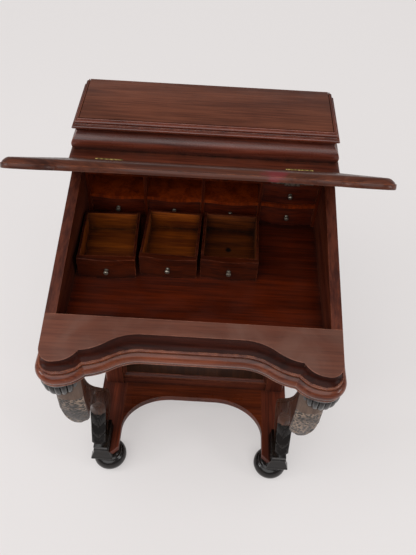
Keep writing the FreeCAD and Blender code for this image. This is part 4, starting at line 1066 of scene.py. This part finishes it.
    def _capitals(self) -> None:
        """A half-round cushion of gadroons that gather to a waist, under a plain plate."""
        profile = [
            (0.0270, 0.0, 0.2), (0.0310, 0.0010, 0.6), (0.0342, 0.0040, 0.9), (0.0368, 0.0080, 1.0),
            (0.0388, 0.0130, 1.0), (0.0402, 0.0190, 1.0), (0.0411, 0.0255, 1.0), (0.0416, 0.0320, 1.0),
            (0.0415, 0.0375, 1.0), (0.0407, 0.0415, 0.9), (0.0392, 0.0446, 0.5),
            (0.0384, 0.0458, 0.0), (0.0412, 0.0464, 0.0), (0.0420, 0.0474, 0.0), (0.0420, 0.0520, 0.0)]
        lobes, steps = 11, 132
        base = self.top - self.capital_tall
        rings = []
        for radius, up, fluting in profile:
            reach = atan2(self.capital_cut, sqrt(radius ** 2 - self.capital_cut ** 2))
            ring = []
            for step in range(steps + 1):
                angle = pi - reach + (pi + 2 * reach) * step / steps
                lobe = abs(sin(pi * lobes * step / steps)) ** 0.5
                far = radius * (1 - 0.12 * fluting * (1 - lobe))
                x, y = self.capital_x + far * cos(angle), self.capital_y + far * sin(angle)
                ring.append(Vector((x, y, base + up)))
            rings.append(ring)
        right = loft("capital_right", rings, 50.0)
        self.finishes.dress(right, "ebonised")
        install_pair("leg_capitals_gadrooned", right, "capital_left", Slot.EBONISED, "leg_capitals")

    def _blocks(self) -> None:
        """Foot blocks: a neck with a thin cap over a cove that flares down over the runner's end."""
        profile = [
            (0.0, -0.0215), (0.0, -0.0170), (0.0010, -0.0158), (0.0022, -0.0120), (0.0040, -0.0060),
            (0.0062, 0.0002), (0.0084, 0.0060), (0.0096, 0.0112), (0.0080, 0.0124), (0.0080, 0.0140),
            (0.0106, 0.0152), (0.0108, 0.0270), (0.0096, 0.0282), (0.0090, 0.0292), (0.0090, 0.0314),
            (0.0100, 0.0320)]
        rings = []
        for inset, up in profile:
            front = self.block_near + inset
            rear = self.block_near + self.block_tongue if up <= 0 else self.block_far
            inner, outer = self.block_inner + inset, self.block_outer - inset
            corners = [(inner, front), (outer, front), (outer, rear), (inner, rear)]
            rings.append([Vector((x, y, self.block_base + up)) for x, y in corners])
        right = loft("foot_block_right", rings, 40.0)
        finish_modifier(right, "BEVEL", width=0.0006, segments=2, limit_method="ANGLE", angle_limit=radians(50))
        self.finishes.dress(right, "ebonised")
        install_pair("leg_foot_blocks_flared", right, "foot_block_left", Slot.EBONISED, "leg_foot_blocks")


def turned(name: str, profile: Sequence[Point], centre: Sequence[float], axis: Sequence[float] = (0, 0, 1),
           steps: int = 40) -> Piece:
    """A turned piece, lofted from round section to round section.

    Args:
        name: The piece's name.
        profile: Radii and distances along the axis.
        centre: Where the axis starts.
        axis: The axis's direction.
        steps: How many points a section has.

    Returns:
        The new mesh object.
    """
    turn = Vector(axis).to_track_quat("Z", "Y")
    angles = [2 * pi * step / steps for step in range(steps)]
    return loft(name, [
        [Vector(centre) + turn @ Vector((radius * cos(angle), radius * sin(angle), along)) for angle in angles]
        for radius, along in profile])


@dataclass
class Runners(Assembly):
    """The platform's two side boards, whose front ends stop inside the flared foot blocks."""

    inner: float = 0.197
    outer: float = 0.268
    rear: float = 0.333
    low: float = 0.064
    high: float = 0.086
    nose: float = -0.2175
    toe: float = 0.216
    splay: float = -0.199
    notch: float = 0.014
    heel: float = -0.137

    def build(self) -> None:
        """Loft one board and mirror it."""
        plan = [(self.toe, self.nose), (self.outer - self.notch, self.nose), (self.outer - self.notch, self.heel),
                (self.outer, self.heel), (self.outer, self.rear), (self.inner, self.rear),
                (self.inner, self.splay)]
        rings = [[Vector((x, y, z)) for x, y in plan] for z in (self.low, self.high)]
        right = loft("runner_right", rings)
        finish_modifier(right, "BEVEL", width=0.0010, segments=2, limit_method="ANGLE", angle_limit=radians(30))
        self.finishes.dress(right, "mahogany_runner")
        install_pair("platform_runners_shaped", right, "runner_left", Slot.MAHOGANY, "platform_runners")


@dataclass
class Feet(Assembly):
    """Four turned bun feet."""

    places: tuple[Point, ...] = ((-0.2245, -0.194), (0.2245, -0.194), (-0.2245, 0.283), (0.2245, 0.283))
    profile: tuple[Point, ...] = (
        (0.0225, 0.0), (0.0240, 0.0008), (0.0240, 0.0050), (0.0262, 0.0062), (0.0330, 0.0085), (0.0392, 0.0128),
        (0.0432, 0.0185), (0.0449, 0.0250), (0.0448, 0.0310), (0.0430, 0.0375), (0.0395, 0.0432), (0.0350, 0.0470),
        (0.0318, 0.0485), (0.0312, 0.0495), (0.0318, 0.0503), (0.0330, 0.0512), (0.0335, 0.0526), (0.0330, 0.0540),
        (0.0308, 0.0548), (0.0284, 0.0556), (0.0270, 0.0572), (0.0270, 0.0640))

    def build(self) -> None:
        """Turn one foot for each place."""
        for number, (x, y) in enumerate(self.places, start=1):
            foot = turned(f"bun_foot_{number}", self.profile, (x, y, 0.0), steps=56)
            self.place(foot, "ebonised", Slot.EBONISED, "bun_feet")


# Stationery box and writing slope
@dataclass
class StationeryBox(Assembly):
    """The cushion frieze on three sides and the lid with its moulded edge."""

    neck_x: float = 0.282
    neck_y: float = 0.168
    rear: float = 0.3264
    base: float = 0.815
    tall: float = 0.054
    wall: float = 0.014
    lid_x: float = 0.290
    lid_y: float = 0.160
    lid_low: float = 0.869
    panel_inset: float = 0.0155

    def build(self) -> None:
        """Make the frieze and the lid."""
        self._frieze()
        self._lid()

    @staticmethod
    def _path(x: float, y: float, rear: float) -> list[Point]:
        """Rear left, front left, front right and rear right corners."""
        return [(-x, rear), (-x, y), (x, y), (x, rear)]

    def _frieze(self) -> None:
        """The hollow-necked cushion, in three mitred lengths."""
        shape = [(0.003, 1.0), (0.0, 0.82), (0.003, 0.68), (0.01105, 0.46), (0.013, 0.27), (0.009, 0.0)]
        curve = smooth_line([(out, share * self.tall) for out, share in shape], 26)
        section = [(-self.wall, 0.0)] + curve[::-1] + [(-self.wall, self.tall)]
        path = self._path(self.neck_x, self.neck_y, self.rear)
        front = moulding_length("box_frieze_front", path, section, self.base, slice(1, 3))
        # The front takes the lighter finish, a painted highlight, while the ends keep the plain one.
        self.place(front, "mahogany_frieze", Slot.MAHOGANY, "stationery_box_front")
        left = moulding_length("box_frieze_left", path, section, self.base, slice(0, 2))
        right = moulding_length("box_frieze_right", path, section, self.base, slice(2, 4))
        ends = joined("box_frieze_ends", [left, right])
        self.place(ends, "mahogany_deep", Slot.MAHOGANY, "stationery_box_ends")

    def _lid(self) -> None:
        """A flat panel in a frame whose edge has two beads."""
        high = 0.019
        section = (
            [(-self.panel_inset + 0.0002, 0.0), (-0.0012, 0.0)]
            + rounded(-0.0030, 0.0030, 0.0030, -70, 88, 8)
            + [(-0.0058, 0.0064), (-0.0064, 0.0072), (-0.0064, 0.0086)]
            + rounded(-0.0094, 0.0124, 0.0034, -58, 80, 8)
            + [(-0.0112, 0.0162), (-0.0116, 0.0170), (-0.0116, 0.0184), (-0.0124, high)]
            + [(-self.panel_inset + 0.0016, high), (-self.panel_inset + 0.0013, high - 0.0045),
               (-self.panel_inset + 0.0002, high - 0.0050)])
        path = self._path(self.lid_x, self.lid_y, self.rear)
        inner = self.lid_x - self.panel_inset
        near = self.lid_y + self.panel_inset
        panel = board("lid_panel", (-inner, near, self.lid_low), (inner, self.rear, self.lid_low + 0.020), 0.0009)
        self.finishes.dress(panel, "mahogany_top")
        pieces = [panel]
        # The front length takes the lighter finish, a painted highlight, while the sides keep the plain one.
        for name, part, finish in (
                ("left", slice(0, 2), "mahogany_deep"), ("front", slice(1, 3), "mahogany_frieze"),
                ("right", slice(2, 4), "mahogany_deep")):
            length = moulding_length(f"lid_moulding_{name}", path, section, self.lid_low, part)
            pieces.append(self.finishes.dress(length, finish))
        lid = joined("stationery_lid_moulded", pieces)
        install(lid, "stationery_lid", Slot.MAHOGANY, "stationery_lid")


@dataclass
class WritingSlope(Assembly):
    """The slope: a board with the serpentine front and a thumb-moulded edge, standing open.

    It is modelled flat about its pivot line, with its face level with the pivot.
    """

    plan: Serpentine = Serpentine(back=0.0, half=0.296, lobe=0.4620, recess=0.3973, cusp=0.4364)
    rear_gap: float = 0.0005
    under: float = -0.01703
    pivot: tuple[float, float, float] = (0.0, 0.129, 0.815)
    open_angle: float = 38.8
    hinge_middle: float = 0.209
    leaf_half: float = 0.030
    profile: tuple[Point, ...] = (
        (0.0016, 0.0), (0.0006, 0.0004), (0.0, 0.0014), (0.0, 0.0078), (0.0004, 0.0085), (0.0016, 0.0089),
        (0.0021, 0.0093), (0.0023, 0.0099), (0.0030, 0.0109), (0.0043, 0.0123), (0.0062, 0.0140), (0.0084, 0.0156),
        (0.0105, 0.0165), (0.0118, 0.0168), (0.0124, 0.01695), (0.0130, 0.0170))

    def build(self) -> None:
        """Loft the board, cut its hinge seats and stand it open."""
        front = self.plan.front()
        out = mitres(front)
        lean = radians(RIM.fall)
        rings = []
        for inset, up in self.profile:
            level = self.under + up
            rear = (level * sin(lean) - self.rear_gap) / cos(lean)
            wide = self.plan.half - inset
            ring = [Vector((-wide, rear, level))]
            ring += [Vector((x - n.x * inset, y - n.y * inset, level)) for (x, y), n in zip(front, out)]
            rings.append(ring + [Vector((wide, rear, level))])
        slope = loft("slope_board_moulded", rings)
        self._cut_seats(slope)
        slope.matrix_world = Matrix.Translation(self.pivot) @ Matrix.Rotation(radians(-self.open_angle), 4, "X")
        only(slope)
        bpy.ops.object.transform_apply(location=True, rotation=True, scale=True)
        self.place(slope, "mahogany_slope", Slot.MAHOGANY, "slope_board", "writing_slope")

    def _cut_seats(self, slope: Piece) -> None:
        """Cut the knuckle grooves and the leaf seats into the leaning pivot edge."""
        room = 0.0034
        for sign in (-1, 1):
            middle = self.hinge_middle * sign
            half = self.leaf_half + 0.0001
            groove = turned("groove", [(room, -half), (room, half)], (middle, 0, 0), (1, 0, 0), 24)
            leaf = board("leaf", (middle - half, -0.0021, -0.0125), (middle + half, 0.001, -0.0032), 0.0001)
            web = board("web", (middle - 0.0099, -0.0029, -0.0051), (middle + 0.0099, 0.001, 0.0), 0.0001)
            for cutter in (leaf, web):
                cutter.rotation_euler = (-radians(RIM.fall), 0, 0)
            for cutter in (groove, leaf, web):
                finish_modifier(slope, "BOOLEAN", object=cutter, operation="DIFFERENCE", solver="EXACT")
                bpy.data.objects.remove(cutter)


# Drawers
@dataclass
class SmallDrawers(Assembly):
    """Eight small drawers, modelled once: five in the nest and three lifted into the well."""

    width: float = 0.12425
    tall: float = 0.058
    deep: float = 0.150
    thick: float = 0.011
    wall: float = 0.0055
    wave: float = 0.0024
    home_y: float = 0.1323
    floor: float = 0.647
    upper: float = 0.714
    columns: tuple[float, ...] = (-0.198375, -0.066125, 0.066125, 0.198375)
    loose: tuple[tuple[float, float, float], ...] = (
        (0.0013, -0.066, 2.2), (0.0007, -0.053, -1.8), (0.0006, -0.051, -0.8))

    def build(self) -> None:
        """Model one drawer and one knob, then copy them to every place."""
        places = {f"lower_drawer_{n}": (self.columns[n - 1], self.home_y, self.floor, 0.0) for n in range(1, 5)}
        places["upper_drawer_4"] = (self.columns[3], self.home_y, self.upper, 0.0)
        for number, (shift, y, turn) in enumerate(self.loose, start=1):
            places[f"loose_drawer_{number}"] = (self.columns[number - 1] + shift, y, self.floor, turn)
        drawer, knob = self._drawer(), self._knob()
        for name, place in places.items():
            box = self._copy(drawer, name + "_box", place)
            # Drawers in the nest take the lighter copy of the front's finish: painted light against the nest's
            # shade.
            if not name.startswith("loose"):
                box.data.materials[0] = self.finishes.materials["drawer_front_lit"]
            if name == "loose_drawer_3":
                box.data.materials[1] = self.finishes.materials["drawer_blotted"]
            install(box, name, Slot.SMALL_DRAWER, name)
            grip = self._copy(knob, name + "_turned_knob", place)
            install(grip, name, Slot.PEWTER, name + "_knob")
        for model in (drawer, knob):
            bpy.data.objects.remove(model)

    @staticmethod
    def _copy(model: Piece, name: str, place: tuple) -> Piece:
        """Copy a model with its own mesh, and apply its place."""
        copy = duplicate(model, name)
        copy.location = place[:3]
        copy.rotation_euler = (0, 0, radians(place[3]))
        bpy.ops.object.transform_apply(location=True, rotation=True, scale=True)
        return copy

    def _front_line(self, inset: float) -> list[Point]:
        """The front's waving line, set back by an inset."""
        quarter = self.width / 4
        radius = (quarter ** 2 + self.wave ** 2) / (2 * self.wave)
        points = []
        for step in range(33):
            x = -2 * quarter + 4 * quarter * step / 32
            away = abs(x)
            if away > quarter:
                y = -(radius - sqrt(radius ** 2 - (2 * quarter - away) ** 2))
            else:
                y = -2 * self.wave + radius - sqrt(radius ** 2 - away ** 2)
            points.append((max(min(x, 2 * quarter - inset), inset - 2 * quarter), y + inset))
        return points

    def _drawer(self) -> Piece:
        """A waving front, two sides, a rear and a bottom."""
        half = self.width / 2
        rings = []
        for inset, up in ((0.0008, 0.0), (0.0, 0.0008), (0.0, self.tall - 0.0012), (0.0005, self.tall - 0.0003),
                          (0.0014, self.tall)):
            ends = [(half - inset, self.thick), (inset - half, self.thick)]
            rings.append([Vector((x, y, up)) for x, y in self._front_line(inset) + ends])
        front = loft("small_front", rings)
        inner = half - self.wall
        side_high = self.tall - 0.004
        back = self.deep - self.wall
        boards = [
            board("small_left", (-half, self.thick, 0), (-inner, self.deep, side_high), 0.0008),
            board("small_right", (inner, self.thick, 0), (half, self.deep, side_high), 0.0008),
            board("small_rear", (-inner, back, 0.004), (inner, self.deep, side_high), 0.0008),
            board("small_floor", (-inner, self.thick, 0), (inner, self.deep, 0.004), 0.0003),
        ]
        drawer = joined("small_drawer", [front] + boards)
        self.finishes.dress(drawer, "drawer_front", "drawer_inside")
        paint(drawer, 1, lambda middle, normal: self._inside(middle, normal, inner, back))
        return drawer

    def _inside(self, middle: Vector, normal: Vector, inner: float, back: float) -> bool:
        """Whether a face belongs to the drawer's inside."""
        slack = 0.0004
        within = abs(middle.x) < inner + slack and self.thick - slack < middle.y < back + slack
        return within and 0.0035 < middle.z < self.tall - 0.005 and normal.z > -0.5

    def _knob(self) -> Piece:
        """A ball on a neck and a round base."""
        profile = [
            (0.0046, -0.0004), (0.0048, 0.0004), (0.0045, 0.0012), (0.0032, 0.0017), (0.0026, 0.0026),
            (0.0028, 0.0036), (0.0040, 0.0046), (0.0052, 0.0061), (0.0056, 0.0078), (0.0053, 0.0095),
            (0.0043, 0.0109), (0.0027, 0.0117), (0.0010, 0.0120), (0.0002, 0.0120)]
        knob = turned("small_knob", profile, (0, -2 * self.wave, self.tall / 2), (0, -1, 0), 28)
        return self.finishes.dress(knob, "dull_pewter")


@dataclass
class SideDrawers(Assembly):
    """Four drawer fronts at the sitter's right and four sham ones at the left, with turned knobs."""

    near: float = 0.0396
    far: float = 0.2984
    low: float = 0.100
    pitch: float = 0.13025
    tall: float = 0.1171
    knob_inset: float = 0.032
    face: float = 0.263
    knob_profile: tuple[Point, ...] = (
        (0.0090, -0.0007), (0.0092, 0.0007), (0.0088, 0.0022), (0.0074, 0.0032), (0.0068, 0.0063), (0.0072, 0.0103),
        (0.0092, 0.0132), (0.0128, 0.0155), (0.0147, 0.0185), (0.0150, 0.0215), (0.0143, 0.0248), (0.0124, 0.0267),
        (0.0119, 0.0270), (0.0110, 0.0270), (0.0080, 0.0289), (0.0040, 0.0299), (0.0003, 0.0300))

    def build(self) -> None:
        """Make the right fronts one by one and the sham ones as one set."""
        shams = []
        for number in range(1, 5):
            base = self.low + self.pitch * (number - 1)
            real = self._front(f"side_front_{number}", base, 0.243, 1)
            install(real, f"side_drawer_{number}", Slot.MAHOGANY, f"side_drawer_{number}_front")
            shams.append(self._front(f"sham_front_{number}", base, 0.259, -1))
        shams_all = joined("sham_fronts_knobbed", shams)
        install(shams_all, "carcase", Slot.MAHOGANY, "sham_drawer_fronts")

    def _front(self, name: str, base: float, inside: float, side: int) -> Piece:
        """One drawer front with a rounded edge and two knobs."""
        ends = sorted((inside * side, self.face * side))
        front = board(name, (ends[0], self.near, base), (ends[1], self.far, base + self.tall), 0.0014)
        self.finishes.dress(front, "mahogany_deep")
        pieces = [front]
        for y in (self.near + self.knob_inset, self.far - self.knob_inset):
            centre = (self.face * side, y, base + self.tall / 2)
            knob = turned(name + "_knob", self.knob_profile, centre, (side, 0, 0), 36)
            pieces.append(self.finishes.dress(knob, "mahogany_deep"))
        return joined(name, pieces)


@dataclass
class PedestalPanel(Assembly):
    """The bead moulding that holds the front panel in its frame."""

    half: float = 0.209
    low: float = 0.116
    high: float = 0.561
    panel_y: float = 0.015

    def build(self) -> None:
        """Sweep an ogee bead round the opening in four mitred lengths."""
        section = [
            (0.0, 0.0), (0.0, 0.0100), (0.0016, 0.0100), (0.0020, 0.0088), (0.0034, 0.0084), (0.0048, 0.0074),
            (0.0056, 0.0058), (0.0062, 0.0040), (0.0074, 0.0026), (0.0090, 0.0018), (0.0099, 0.0014), (0.0100, 0.0)]
        corners = [(-self.half, self.low), (self.half, self.low), (self.half, self.high), (-self.half, self.high)]
        lengths = []
        for index in range(4):
            rings = []
            for x, z in (corners[index], corners[(index + 1) % 4]):
                inwards = Vector((-1 if x > 0 else 1, -1 if z > self.low else 1))
                rings.append([
                    Vector((x + inwards.x * far, self.panel_y - out, z + inwards.y * far)) for far, out in section])
            lengths.append(loft(f"panel_bead_{index + 1}", rings))
        beads = joined("front_panel_beads_moulded", lengths)
        self.place(beads, "mahogany_across", Slot.MAHOGANY, "front_panel_beads")


# Studio
@dataclass
class Studio:
    """Pale floor, soft light and the camera.

    Attributes:
        place: The camera's place.
        yaw: Its turn to the right, in degrees.
        pitch: Its tilt down, in degrees.
        roll: Its roll, in degrees.
        focal: Focal length in pixels of the picture.
        centre: The picture's optical centre, in pixels.
        width: The picture's width, in pixels.
        height: The picture's height, in pixels.
        shadow_share: How much of the floor's brightness the shadow may take.
        world_strength: Strength of the pale world.
        even_place: Where the even light comes from.
        even_power: Its strength.
        even_spread: Its angle in degrees, which softens its shadows.
        window_size: Side of each window light.
        windows: Name, place and power of each window light.
    """

    place: tuple[float, float, float] = (0.0254, -0.9249, 1.6769)
    yaw: float = -0.33
    pitch: float = 49.10
    roll: float = 3.04
    focal: float = 611.8
    centre: Point = (207.3, 271.4)
    width: float = 416.0
    height: float = 555.0
    shadow_share: float = 0.55
    world_strength: float = 0.36
    even_place: tuple[float, float, float] = (-0.6, -1.9, 4.2)
    even_power: float = 1.75
    even_spread: float = 70.0
    window_size: float = 0.7
    windows: tuple[tuple[str, tuple[float, float, float], float], ...] = (
        ("window_left", (-2.2, -0.7, 1.7), 11.0), ("window_right", (2.3, -0.9, 1.6), 9.0))

    def build(self) -> None:
        """Set up the floor, the lamps, the world and the camera."""
        self._floor()
        self._lamps()
        self._camera()
        bpy.context.scene.view_settings.view_transform = "Standard"

    def _floor(self) -> None:
        """A pale floor that the camera sees evenly lit, with the desk's shadow kept as a light tint."""
        bpy.ops.object.select_all(action="DESELECT")
        bpy.ops.mesh.primitive_plane_add(size=14.0)
        floor = bpy.context.object
        floor.name = "studio_floor"
        material, graph, shader = blank_material("studio_floor")
        seen = graph.add("LightPath").outputs["Is Camera Ray"]
        pale = tone(237, 233, 232)
        kept = tuple(channel * self.shadow_share for channel in pale[:3]) + (1.0,)
        graph.feed(shader, {
            "Base Color": graph.mix(seen, pale, kept), "Emission Color": pale,
            "Emission Strength": graph.math("MULTIPLY", seen, 1 - self.shadow_share),
            "Roughness": 1.0, "Specular IOR Level": 0.0})
        floor.data.materials.append(material)

    def _lamps(self) -> None:
        """A broad even light from above the sitter's left shoulder, a window at each side, and a pale world."""
        scene = bpy.context.scene
        world = bpy.data.worlds.new("studio_world")
        world.use_nodes = True
        shade = world.node_tree.nodes["Background"]
        shade.inputs["Color"].default_value = tone(236, 234, 234)
        shade.inputs["Strength"].default_value = self.world_strength
        scene.world = world
        even = bpy.data.lights.new("even_light", "SUN")
        even.angle = radians(self.even_spread)
        even.energy = self.even_power
        lamps = [(even, self.even_place)]
        for name, place, power in self.windows:
            window = bpy.data.lights.new(name, "AREA")
            window.size, window.energy = self.window_size, power
            lamps.append((window, place))
        for data, place in lamps:
            lamp = bpy.data.objects.new(data.name, data)
            lamp.location = place
            aim = Vector((0, 0, 0.6)) - Vector(place)
            lamp.rotation_euler = aim.to_track_quat("-Z", "Y").to_euler()
            scene.collection.objects.link(lamp)

    def _camera(self) -> None:
        """The camera, with the roll and small lens shift of the view."""
        yaw, pitch, roll = radians(self.yaw), radians(self.pitch), radians(self.roll)
        forward = Vector((sin(yaw) * cos(pitch), cos(yaw) * cos(pitch), -sin(pitch)))
        level = Vector((cos(yaw), -sin(yaw), 0.0))
        upright = level.cross(forward)
        right = cos(roll) * level + sin(roll) * upright
        up = -sin(roll) * level + cos(roll) * upright
        data = bpy.data.cameras.new("camera")
        data.sensor_fit = "HORIZONTAL"
        data.lens = self.focal / self.width * data.sensor_width
        data.shift_x = (self.width / 2 - self.centre[0]) / self.width
        data.shift_y = (self.centre[1] - self.height / 2) / self.width
        camera = bpy.data.objects.new("camera", data)
        turn = Matrix((right, up, -forward)).transposed().to_4x4()
        camera.matrix_world = Matrix.Translation(self.place) @ turn
        bpy.context.scene.collection.objects.link(camera)
        bpy.context.scene.camera = camera


NODE_FINISHES = {
    "mahogany_platform": ("platform_board",),
    "mahogany_runner": ("platform_runners",),
    "mahogany_upright": ("pedestal_posts", "pedestal_side", "pedestal_back"),
    "mahogany_across": (
        "front_panel_rails", "front_panel_beads", "rear_board", "stationery_box_back", "stationery_box_front",
        "stationery_box_ends"),
    "mahogany_panel": ("front_panel",),
    "mahogany_deep": ("drawer_blades", "sham_drawer_fronts", "desk_side_left", "desk_side_right"),
    "lining": ("drawer_runners", "desk_bottom"),
    "well_wall": ("desk_back", "nest_frame"),
    "well_floor": ("well_floor",),
    "nest_wood": ("nest_shelves",),
    "dull_pewter": ("nest_catch",),
    "aged_brass": (
        "slope_hinge_fixed_leaves", "slope_hinge_moving_leaves", "box_hinge_fixed_leaves",
        "box_hinge_moving_leaves"),
    "mahogany_top": ("stationery_lid",),
    "mahogany_slope": ("slope_board",),
    "scroll_brown": ("leg_right", "leg_left"),
    "ebonised": ("leg_capitals", "leg_foot_blocks", "bun_feet"),
}


def finish_name(node: str) -> str:
    """Name a node's finish; nodes outside NODE_FINISHES belong to drawers, the rail or the moulding.

    Args:
        node: The node's name.

    Returns:
        The finish's name.
    """
    for finish, names in NODE_FINISHES.items():
        if node in names:
            return finish
    if node.endswith("_knob"):
        return "dull_pewter"
    if node.startswith("side_drawer"):
        return "mahogany_deep" if node.endswith("front") else "lining"
    return "drawer_front"


def main() -> None:
    """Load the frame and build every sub-assembly."""
    logging.basicConfig(level=logging.INFO, format="%(message)s")
    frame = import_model()
    finishes = Finishes()
    for name, obj in frame["nodes"].items():
        finishes.dress(obj, finish_name(name))
    parts = (DeskFront, ScrollLegs, Runners, Feet, StationeryBox, WritingSlope, SmallDrawers, SideDrawers,
             PedestalPanel)
    for part in parts:
        part(finishes).build()
    Studio().build()


if __name__ == "__main__":
    main()
